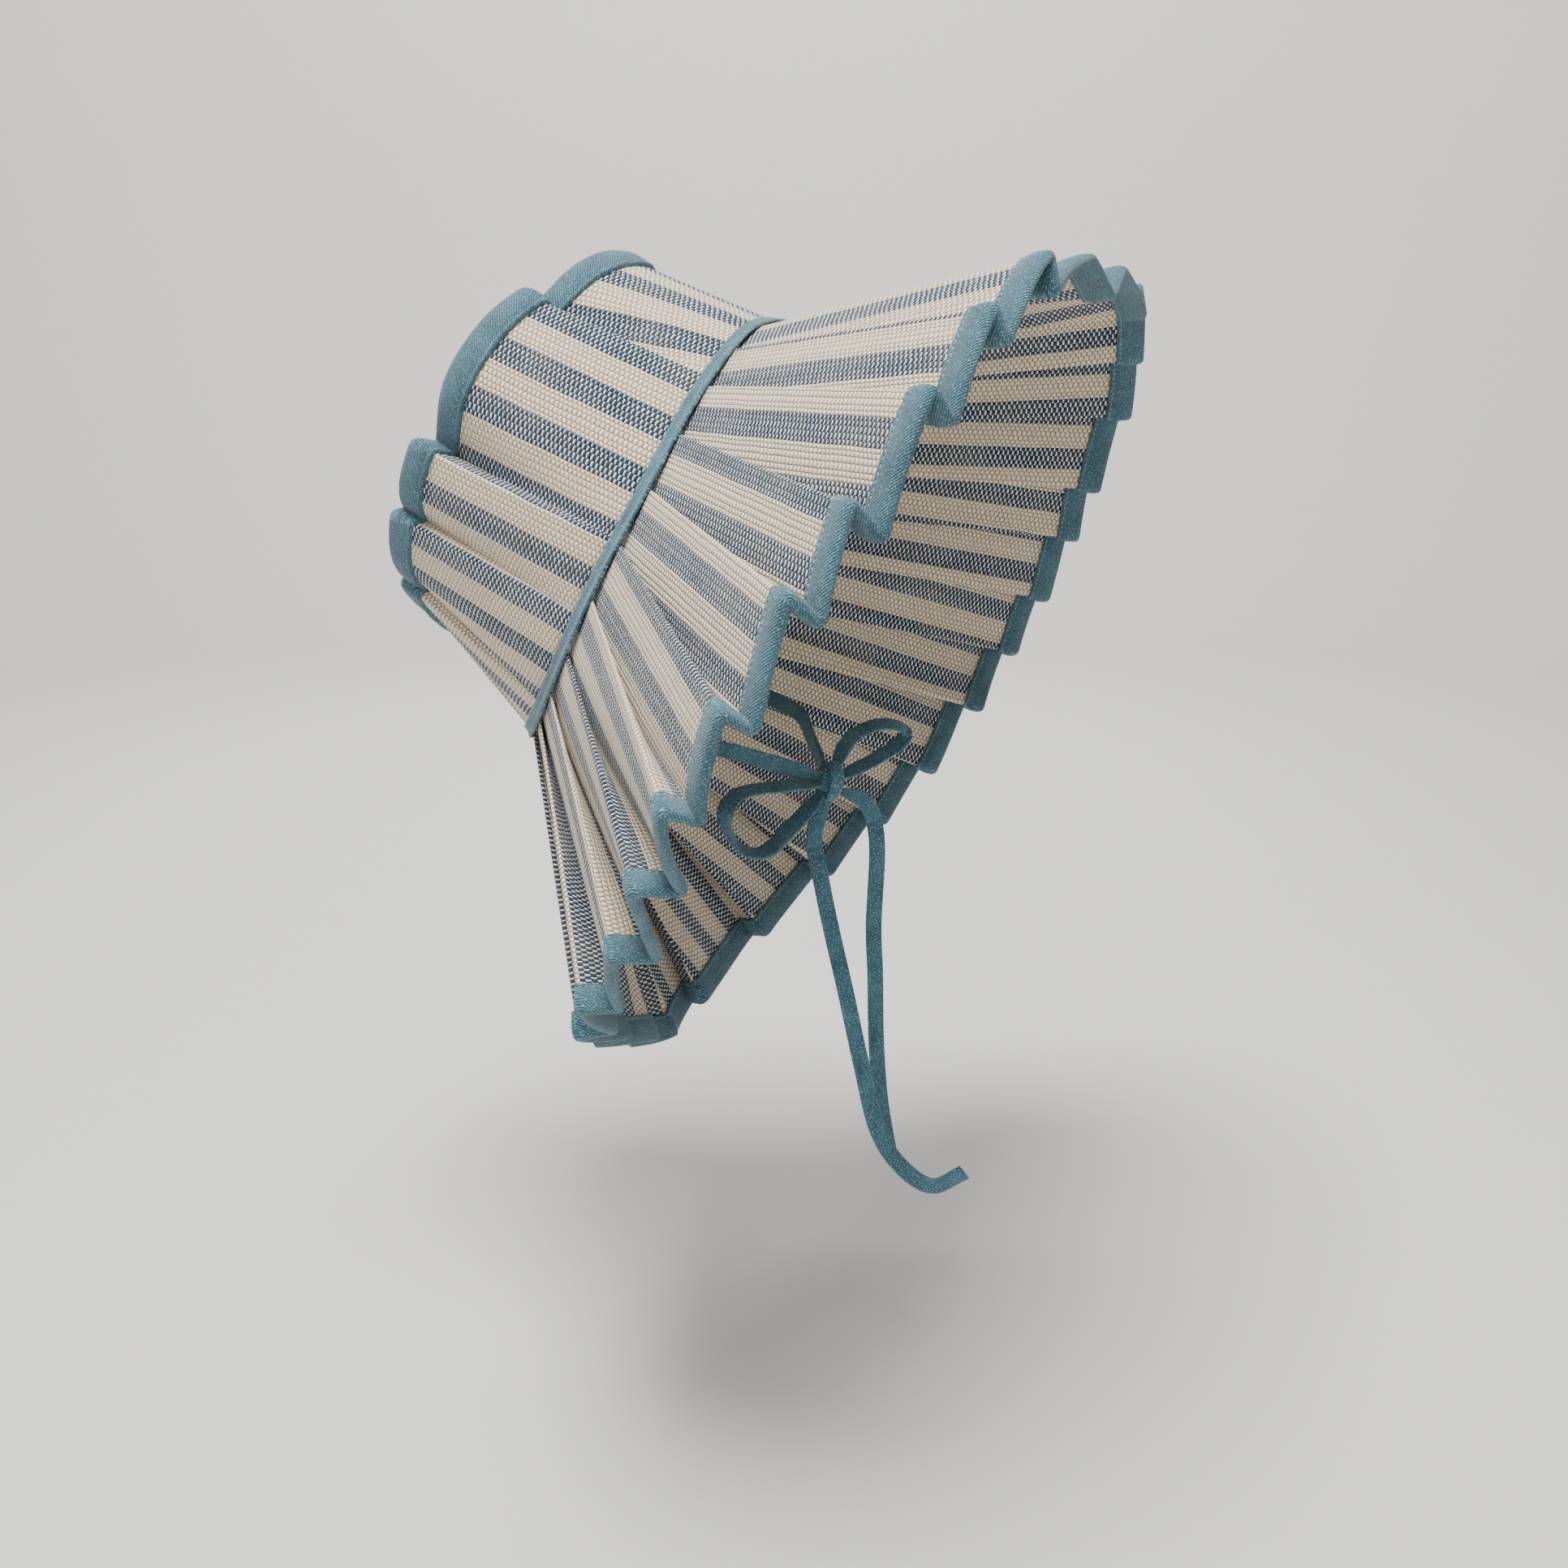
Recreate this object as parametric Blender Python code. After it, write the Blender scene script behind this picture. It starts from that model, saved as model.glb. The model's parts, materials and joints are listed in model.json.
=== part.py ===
"""Poke bonnet of pleated striped cloth, with bound edges and a bow tied under the chin.

Metres, +Z up. The bonnet faces -Y and is alike on both sides of the plane X = 0. The origin is
the inside of the band at the top of the head. The band is an oval ring that leans back, the
crown runs from it to the rear and the brim runs from it to the front. "turn" is the angle round
the band, 0 at the top and 180 at the nape.
"""
from collections import namedtuple
from math import cos, radians, sin

import bpy
import bmesh
from mathutils import Matrix, Vector

# Band ring, which follows the seam of crown and brim
LEAN = radians(34)
BAND_HALF_WIDTH = 0.082
BAND_HALF_HEIGHT = 0.101
BAND_BOW = 0.022
BAND_TAPE_WIDTH = 0.007
SEAM_GAP = 0.0006

# Brim
BRIM_HALF_WIDTH = 0.190
BRIM_HALF_HEIGHT = 0.180
BRIM_REACH = 0.125
BRIM_PLEATS_PER_SIDE = 14
BRIM_PLEAT_DEPTH = 0.014
BRIM_BINDING_WIDTH = 0.011

# Crown
CROWN_END_HALF_WIDTH = 0.064
CROWN_END_HALF_HEIGHT = 0.085
CROWN_DEPTH = 0.082
CROWN_FOLD_DEPTH = 0.013
CROWN_BINDING_WIDTH = 0.012

# Cloth and tape
CLOTH = 0.0015
TAPE = 0.0012
CLEARANCE = 0.0003

# Ties
TIE_WIDTH = 0.0070
TIE_THICKNESS = 0.0014
TIE_PINCH = 0.40
KNOT_WIDTH = 0.012
KNOT_DEPTH = 0.010
KNOT_HEIGHT = 0.014
KNOT_TURN = radians(-35)
TIE_SEAT_TURN = 124
TIE_SEAT_INSET = 0.004

Ring = namedtuple("Ring", "turn across up out deep")
Column = namedtuple("Column", "start end sink")
Fold = namedtuple("Fold", "start end deep")
Route = namedtuple("Route", "leave points enter")

# Lengths are shares: across, up and out of the ring's own half width, half height and reach,
# deep of the depth of its pleats. "out" runs along the bonnet's axis, away from the band.
BAND_RING = [
    Ring(0, 0.00, 1.00, 0.00, 0.0),
    Ring(20, 0.36, 0.95, 0.10, 0.0),
    Ring(45, 0.74, 0.72, 0.50, 0.0),
    Ring(70, 0.97, 0.36, 0.90, 0.0),
    Ring(90, 1.00, 0.02, 1.00, 0.0),
    Ring(110, 0.90, -0.36, 1.00, 0.0),
    Ring(135, 0.62, -0.74, 0.75, 0.0),
    Ring(160, 0.27, -0.95, 0.25, 0.0),
    Ring(180, 0.00, -1.00, 0.00, 0.0),
]
BRIM_EDGE = [
    Ring(0, 0.00, 1.05, 0.78, 0.8),
    Ring(13, 0.39, 1.03, 0.77, 0.8),
    Ring(27, 0.59, 0.92, 0.80, 0.8),
    Ring(40, 0.73, 0.78, 0.84, 0.9),
    Ring(53, 0.83, 0.58, 0.87, 1.1),
    Ring(67, 0.92, 0.41, 0.90, 1.0),
    Ring(80, 0.98, 0.21, 0.94, 0.9),
    Ring(93, 1.00, 0.02, 0.96, 0.9),
    Ring(107, 0.94, -0.18, 0.98, 1.2),
    Ring(120, 0.85, -0.37, 1.00, 1.1),
    Ring(133, 0.78, -0.55, 0.98, 1.0),
    Ring(147, 0.62, -0.73, 0.96, 1.0),
    Ring(160, 0.40, -0.88, 0.95, 0.9),
    Ring(173, 0.16, -1.00, 0.97, 0.8),
    Ring(180, 0.00, -1.06, 0.98, 0.8),
]
CROWN_END = [
    Ring(0, 0.00, 1.00, 0.90, 0.6),
    Ring(15, 0.20, 0.97, 0.92, 0.8),
    Ring(30, 0.45, 0.86, 0.96, 1.0),
    Ring(45, 0.75, 0.61, 1.02, 1.0),
    Ring(60, 0.91, 0.38, 1.03, 1.0),
    Ring(75, 1.00, 0.14, 1.01, 1.0),
    Ring(90, 0.97, -0.17, 1.00, 1.0),
    Ring(105, 0.88, -0.49, 0.97, 1.0),
    Ring(120, 0.71, -0.73, 0.94, 1.0),
    Ring(135, 0.52, -0.88, 0.89, 0.9),
    Ring(150, 0.30, -0.98, 0.86, 0.8),
    Ring(180, 0.00, -1.06, 0.84, 0.6),
]
# One pleat from its ridge to the next: shares of the pitch at the band and at the edge, and of
# the depth. The cloth runs down under the next ridge and turns back to it.
PLEAT = [
    Column(0.00, 0.00, 0.00),
    Column(0.36, 0.36, 0.26),
    Column(0.74, 0.80, 0.74),
    Column(0.92, 1.03, 1.00),
]
# The creases of the crown: their turn at the band and at the rear, and how deep they run there
CROWN_FOLDS = [
    Fold(38, 39, 1.0),
    Fold(81, 87, 1.2),
    Fold(99, 105, 0.7),
    Fold(128, 133, 0.5),
    Fold(156, 156, 0.7),
]
CROWN_PANEL = [
    Column(0.00, 0.00, 0.00),
    Column(0.25, 0.25, 0.02),
    Column(0.50, 0.50, 0.08),
    Column(0.75, 0.78, 0.35),
    Column(0.94, 1.02, 1.00),
]

# Routes of the ties, the bow and its ends, in metres, with the way each leaves and enters the knot
KNOT = Vector((0.000, -0.024, -0.181))
TIE_ROUTE = Route(
    None,
    [(-0.060, 0.052, -0.152), (-0.052, 0.026, -0.158), (-0.040, 0.006, -0.162), (-0.024, -0.006, -0.169)],
    (-0.70, 0.55, 0.45),
)
LOOP_LEFT_ROUTE = Route(
    (-0.88, 0.40, -0.05),
    [(-0.024, -0.012, -0.179), (-0.043, -0.002, -0.179), (-0.051, 0.000, -0.187),
     (-0.047, -0.004, -0.199), (-0.038, -0.011, -0.203), (-0.021, -0.016, -0.196)],
    (-0.66, 0.20, -0.65),
)
LOOP_RIGHT_ROUTE = Route(
    (0.60, -0.10, 0.80),
    [(0.015, -0.027, -0.166), (0.026, -0.035, -0.161), (0.035, -0.043, -0.163),
     (0.037, -0.043, -0.169), (0.026, -0.036, -0.175)],
    (0.93, -0.35, 0.10),
)
END_LEFT_ROUTE = Route(
    (-0.30, 0.00, -0.95),
    [(-0.007, -0.020, -0.203), (-0.008, -0.024, -0.223), (-0.008, -0.029, -0.245),
     (-0.009, -0.035, -0.267), (-0.010, -0.043, -0.299), (-0.012, -0.051, -0.326),
     (-0.014, -0.062, -0.340), (-0.016, -0.077, -0.346), (-0.016, -0.091, -0.337)],
    None,
)
END_RIGHT_ROUTE = Route(
    (0.45, -0.62, -0.64),
    [(0.010, -0.037, -0.192), (0.012, -0.041, -0.209), (0.012, -0.040, -0.245),
     (0.012, -0.041, -0.267), (0.012, -0.042, -0.299), (0.013, -0.044, -0.326),
     (0.014, -0.048, -0.350)],
    None,
)

AXIS = Vector((0, -cos(LEAN), -sin(LEAN)))
RISE = Vector((0, -sin(LEAN), cos(LEAN)))
CENTRE = -(BAND_HALF_HEIGHT - CLOTH) * RISE


def remove_all():
    for obj in list(bpy.data.objects):
        bpy.data.objects.remove(obj, do_unlink=True)


def read_ring(rows, turn, column):
    """Smooth curve through one column of a table, mirrored at the top and the nape."""
    odd = -1 if column == "across" else 1
    turns = [row.turn for row in rows]
    values = [getattr(row, column) for row in rows]
    turns = [-turns[1]] + turns + [360 - turns[-2]]
    values = [odd * values[1]] + values + [odd * values[-2]]
    k = 1
    while k < len(rows) - 1 and turns[k + 1] < turn:
        k += 1
    before = (values[k + 1] - values[k - 1]) / (turns[k + 1] - turns[k - 1])
    after = (values[k + 2] - values[k]) / (turns[k + 2] - turns[k])
    span = turns[k + 1] - turns[k]
    t = (turn - turns[k]) / span
    return ((2 * t**3 - 3 * t**2 + 1) * values[k]
            + (t**3 - 2 * t**2 + t) * span * before
            + (3 * t**2 - 2 * t**3) * values[k + 1]
            + (t**3 - t**2) * span * after)


def ring_point(rows, turn, half_width, half_height, reach):
    """Point of the left side, at -X."""
    across = read_ring(rows, turn, "across") * half_width
    up = read_ring(rows, turn, "up") * half_height
    out = read_ring(rows, turn, "out") * reach
    return CENTRE + Vector((-across, 0, 0)) + RISE * up + AXIS * out


def band_point(turn):
    return ring_point(BAND_RING, turn, BAND_HALF_WIDTH, BAND_HALF_HEIGHT, BAND_BOW)


def brim_point(turn):
    return ring_point(BRIM_EDGE, turn, BRIM_HALF_WIDTH, BRIM_HALF_HEIGHT, BRIM_REACH)


def crown_point(turn):
    return ring_point(CROWN_END, turn, CROWN_END_HALF_WIDTH, CROWN_END_HALF_HEIGHT, -CROWN_DEPTH)


def edge_normal(edge_point, turn):
    """Outward direction of the unpleated cloth at its edge."""
    along = edge_point(min(turn + 2, 180)) - edge_point(max(turn - 2, 0))
    run = edge_point(turn) - band_point(turn)
    normal = along.cross(run).normalized()
    outward = edge_point(turn) - CENTRE
    return normal if normal.dot(outward) > 0 else -normal


def brim_columns():
    """Band turn, edge turn and sink of each pleat line of one side, top to nape."""
    pitch = 180 / (BRIM_PLEATS_PER_SIDE - 0.5)
    ridges = [pitch / 3] + [k * pitch for k in range(1, BRIM_PLEATS_PER_SIDE)]
    columns = [Column(0, 0, 1.0)]
    for ridge, following in zip(ridges, ridges[1:]):
        width = following - ridge
        for c in PLEAT:
            columns.append(Column(ridge + c.start * width, ridge + c.end * width, c.sink))
    columns.append(Column(ridges[-1], ridges[-1], 0.0))
    columns.append(Column(180, 180, 1.0))
    return columns


def crown_columns():
    """The same for the crown, whose panels lie between its creases."""
    creases = [Fold(0, 0, 0.0)] + CROWN_FOLDS + [Fold(180, 180, 0.3)]
    columns = []
    for fold, following in zip(creases, creases[1:]):
        last = following is creases[-1]
        for c in CROWN_PANEL:
            share = min(c.end, 0.97) if last else c.end
            start = fold.start + c.start * (following.start - fold.start)
            end = fold.end + share * (following.end - fold.end)
            columns.append(Column(start, end, c.sink * following.deep))
    columns.append(Column(180, 180, 0.3))
    return columns


def pleated_lines(columns, edge_point, rows, depth):
    """Start and end point of each line, all round: the left side and its mirror image."""
    left = []
    for c in columns:
        deep = read_ring(rows, c.end, "deep") * depth * c.sink
        end = edge_point(c.end) - edge_normal(edge_point, c.end) * deep
        left.append((band_point(c.start), end))
    on_plane = {0, len(left) - 1}
    flip = Vector((-1, 1, 1))
    right = [(a * flip, b * flip) for k, (a, b) in enumerate(left) if k not in on_plane]
    ring = left + right[::-1]
    middle = sum((b for a, b in ring), Vector()) / len(ring)
    return ring, middle


def line_point(line, distance_from_end=None, distance=None):
    start, end = line
    run = end - start
    length = run.length
    share = distance / length if distance is not None else 1 - distance_from_end / length
    return start + run * share


def ring_normals(points, direction):
    """Outward direction at each point of a closed line, lengthened at its corners."""
    count = len(points)
    sides = []
    for k in range(count):
        along = points[(k + 1) % count] - points[k]
        sides.append(along.cross(direction(k)).normalized())
    normals = []
    for k in range(count):
        both = (sides[k - 1] + sides[k]).normalized()
        normals.append(both / max(both.dot(sides[k]), 0.45))
    return normals


def closed_band(name, sections, material):
    """Solid whose closed sections follow each other all round a ring."""
    mesh = bpy.data.meshes.new(name)
    bm = bmesh.new()
    rings = [[bm.verts.new(p) for p in section] for section in sections]
    size = len(rings[0])
    for k, ring in enumerate(rings):
        following = rings[(k + 1) % len(rings)]
        for j in range(size):
            i = (j + 1) % size
            bm.faces.new((ring[j], ring[i], following[i], following[j]))
    bmesh.ops.triangulate(bm, faces=bm.faces)
    bmesh.ops.recalc_face_normals(bm, faces=bm.faces)
    bm.to_mesh(mesh)
    bm.free()
    mesh.materials.append(material)
    obj = bpy.data.objects.new(name, mesh)
    bpy.context.collection.objects.link(obj)
    return obj


def make_material(name, colour, roughness):
    material = bpy.data.materials.new(name)
    material.use_nodes = True
    shader = material.node_tree.nodes["Principled BSDF"]
    shader.inputs["Base Color"].default_value = (*colour, 1)
    shader.inputs["Roughness"].default_value = roughness
    shader.inputs["Metallic"].default_value = 0.0
    return material


def offset_rows(lines, distances, outward):
    """Points and outward directions of the cloth's middle, at each distance along its lines."""
    rows = []
    for near, value in distances:
        points = []
        for line in lines:
            if near:
                points.append(line_point(line, distance=value))
            else:
                points.append(line_point(line, distance_from_end=value))
        normals = ring_normals(points, lambda k: (lines[k][1] - lines[k][0]) * outward)
        rows.append((points, normals))
    return rows


def cloth_wall(name, lines, steps, binding_width, outward, material):
    """Pleated cloth from the seam to its bound edge."""
    distances = [(True, SEAM_GAP / 2)]
    free = min((b - a).length for a, b in lines) - binding_width
    for k in range(1, steps):
        distances.append((True, free * k / steps))
    distances.append((False, binding_width))
    distances.append((False, TAPE + CLEARANCE))
    rows = offset_rows(lines, distances, outward)
    sections = []
    for k in range(len(lines)):
        outer = [points[k] + normals[k] * CLOTH / 2 for points, normals in rows]
        inner = [points[k] - normals[k] * CLOTH / 2 for points, normals in rows]
        sections.append(outer + inner[::-1])
    return closed_band(name, sections, material)


def edge_binding(name, lines, width, outward, material):
    """Tape folded over the edge, clear of the cloth inside it."""
    inner = CLOTH / 2 + CLEARANCE
    outer = inner + TAPE
    rows = offset_rows(lines, [(False, width), (False, TAPE), (False, 0.0)], outward)
    sections = []
    for k in range(len(lines)):
        def at(row, offset):
            return rows[row][0][k] + rows[row][1][k] * offset
        sections.append([
            at(0, outer), at(2, outer), at(2, -outer), at(0, -outer),
            at(0, -inner), at(1, -inner), at(1, inner), at(0, inner),
        ])
    return closed_band(name, sections, material)


def seam_band(material):
    """Flat tape round the outside of the seam."""
    count = 72
    sections = []
    flip = Vector((-1, 1, 1))
    turns = [360 * k / count for k in range(count)]
    near = CLOTH / 2 + CLEARANCE
    for turn in turns:
        side = turn <= 180
        at = turn if side else 360 - turn
        point = band_point(at)
        along = band_point(min(at + 2, 180)) - band_point(max(at - 2, 0))
        front = (brim_point(at) - point).normalized()
        back = (crown_point(at) - point).normalized()
        out = along.cross(AXIS).normalized()
        if out.dot(point - CENTRE) < 0:
            out.negate()
        def beside(run):
            normal = along.cross(run).normalized()
            return normal if normal.dot(point - CENTRE) > 0 else -normal
        front_out = beside(front)
        back_out = beside(back)
        middle_out = (front_out + back_out).normalized()
        middle_out /= middle_out.dot(front_out)
        half = BAND_TAPE_WIDTH / 2
        section = [
            point + front * half + front_out * near,
            point + front * half + front_out * (near + TAPE),
            point + middle_out * (near + TAPE),
            point + back * half + back_out * (near + TAPE),
            point + back * half + back_out * near,
            point + middle_out * near,
        ]
        sections.append([p if side else p * flip for p in section])
    return closed_band("band", sections, material)


def smooth_path(points, steps):
    """Curve through the points, with steps between each two."""
    ends = [points[0] * 2 - points[1]] + list(points) + [points[-1] * 2 - points[-2]]
    path = []
    for k in range(1, len(ends) - 2):
        a, b, c, d = ends[k - 1:k + 3]
        for j in range(steps):
            t = j / steps
            path.append(0.5 * (2 * b + (c - a) * t + (2 * a - 5 * b + 4 * c - d) * t * t
                               + (3 * b - a - 3 * c + d) * t**3))
    path.append(points[-1])
    return path


def knot_side(direction):
    """Point just clear of the knot, on the side that direction looks to."""
    d = Vector(direction).normalized()
    local = Matrix.Rotation(-KNOT_TURN, 3, "Z") @ d
    sizes = (KNOT_WIDTH / 2, KNOT_DEPTH / 2, KNOT_HEIGHT / 2)
    radius = sum((x / size) ** 2 for x, size in zip(local, sizes)) ** -0.5
    return KNOT + d * (radius + CLEARANCE)


def seat_point():
    """Where a tie is sewn to the inside of the brim, just in front of the band."""
    point = band_point(TIE_SEAT_TURN)
    run = (brim_point(TIE_SEAT_TURN) - point).normalized()
    along = band_point(TIE_SEAT_TURN + 2) - band_point(TIE_SEAT_TURN - 2)
    inward = along.cross(run).normalized()
    if inward.dot(point - CENTRE) > 0:
        inward.negate()
    depth = BRIM_PLEAT_DEPTH * TIE_SEAT_INSET / (brim_point(TIE_SEAT_TURN) - point).length
    return point + run * TIE_SEAT_INSET + inward * (CLOTH / 2 + CLEARANCE + TIE_THICKNESS / 2 + depth)


def flat_tie(name, route, first, last, facing, material, mirror=False, steps=3):
    """Flat folded tape along a route. facing is where its flat side looks at its two ends."""
    flip = Vector((-1, 1, 1)) if mirror else Vector((1, 1, 1))
    points = [Vector(p) for p in route.points]
    if first is not None:
        points = [first] + points
    if last is not None:
        points = points + [last]
    path = [p * flip for p in smooth_path(points, steps)]
    count = len(path)
    starts_pinched = route.leave is not None
    ends_pinched = route.enter is not None
    mesh = bpy.data.meshes.new(name)
    bm = bmesh.new()
    sections = []
    for k, point in enumerate(path):
        share = k / (count - 1)
        run = (path[min(k + 1, count - 1)] - path[max(k - 1, 0)]).normalized()
        look = (Vector(facing[0]).lerp(Vector(facing[1]), share)) * flip
        width = TIE_WIDTH
        if starts_pinched and k < 2:
            width *= (TIE_PINCH, 0.5 + TIE_PINCH / 2)[k]
        if ends_pinched and k > count - 3:
            width *= (TIE_PINCH, 0.5 + TIE_PINCH / 2)[count - 1 - k]
        across = run.cross(look).normalized() * width / 2
        flat = across.cross(run).normalized() * TIE_THICKNESS / 2
        corners = (across + flat, flat - across, -across - flat, across - flat)
        sections.append([bm.verts.new(point + corner) for corner in corners])
    for a, b in zip(sections, sections[1:]):
        for j in range(4):
            i = (j + 1) % 4
            bm.faces.new((a[j], a[i], b[i], b[j]))
    bm.faces.new(sections[0])
    bm.faces.new(sections[-1])
    bmesh.ops.triangulate(bm, faces=bm.faces)
    bmesh.ops.recalc_face_normals(bm, faces=bm.faces)
    bm.to_mesh(mesh)
    bm.free()
    mesh.materials.append(material)
    obj = bpy.data.objects.new(name, mesh)
    bpy.context.collection.objects.link(obj)
    return obj


def bow_knot(material):
    """Rounded knot, a little wider than deep."""
    bpy.ops.mesh.primitive_uv_sphere_add(segments=14, ring_count=9, radius=0.5, location=KNOT,
                                         rotation=(0, 0, KNOT_TURN))
    obj = bpy.context.object
    obj.name = "bow_knot"
    for vertex in obj.data.vertices:
        vertex.co.x *= KNOT_WIDTH
        vertex.co.y *= KNOT_DEPTH
        vertex.co.z *= KNOT_HEIGHT
    obj.data.shade_smooth()
    obj.data.materials.append(material)
    return obj


remove_all()

straw = make_material("striped_cloth", (0.62, 0.62, 0.56), 0.85)
tape = make_material("twill_tape", (0.078, 0.202, 0.254), 0.8)

brim_lines, _ = pleated_lines(brim_columns(), brim_point, BRIM_EDGE, BRIM_PLEAT_DEPTH)
crown_lines, _ = pleated_lines(crown_columns(), crown_point, CROWN_END, CROWN_FOLD_DEPTH)

cloth_wall("brim", brim_lines, 4, BRIM_BINDING_WIDTH, 1, straw)
edge_binding("brim_edge_binding", brim_lines, BRIM_BINDING_WIDTH, 1, tape)
cloth_wall("crown", crown_lines, 4, CROWN_BINDING_WIDTH, -1, straw)
edge_binding("crown_edge_binding", crown_lines, CROWN_BINDING_WIDTH, -1, tape)
seam_band(tape)

bow_knot(tape)
near = (-0.85, -0.50, 0.10)
for side, mirror in (("left", False), ("right", True)):
    flat_tie(f"tie_{side}", TIE_ROUTE, seat_point(), knot_side(TIE_ROUTE.enter),
             ((-0.75, 0.20, -0.60), near), tape, mirror=mirror)
bow = (
    ("bow_loop_left", LOOP_LEFT_ROUTE, ((-0.2, -0.4, 0.9), (-0.2, -0.4, 0.9))),
    ("bow_loop_right", LOOP_RIGHT_ROUTE, ((-0.5, -0.2, 0.8), (-0.5, -0.2, 0.8))),
    ("bow_end_left", END_LEFT_ROUTE, (near, near)),
    ("bow_end_right", END_RIGHT_ROUTE, (near, near)),
)
for name, route, facing in bow:
    last = knot_side(route.enter) if route.enter else None
    flat_tie(name, route, knot_side(route.leave), last, facing, tape)
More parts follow.
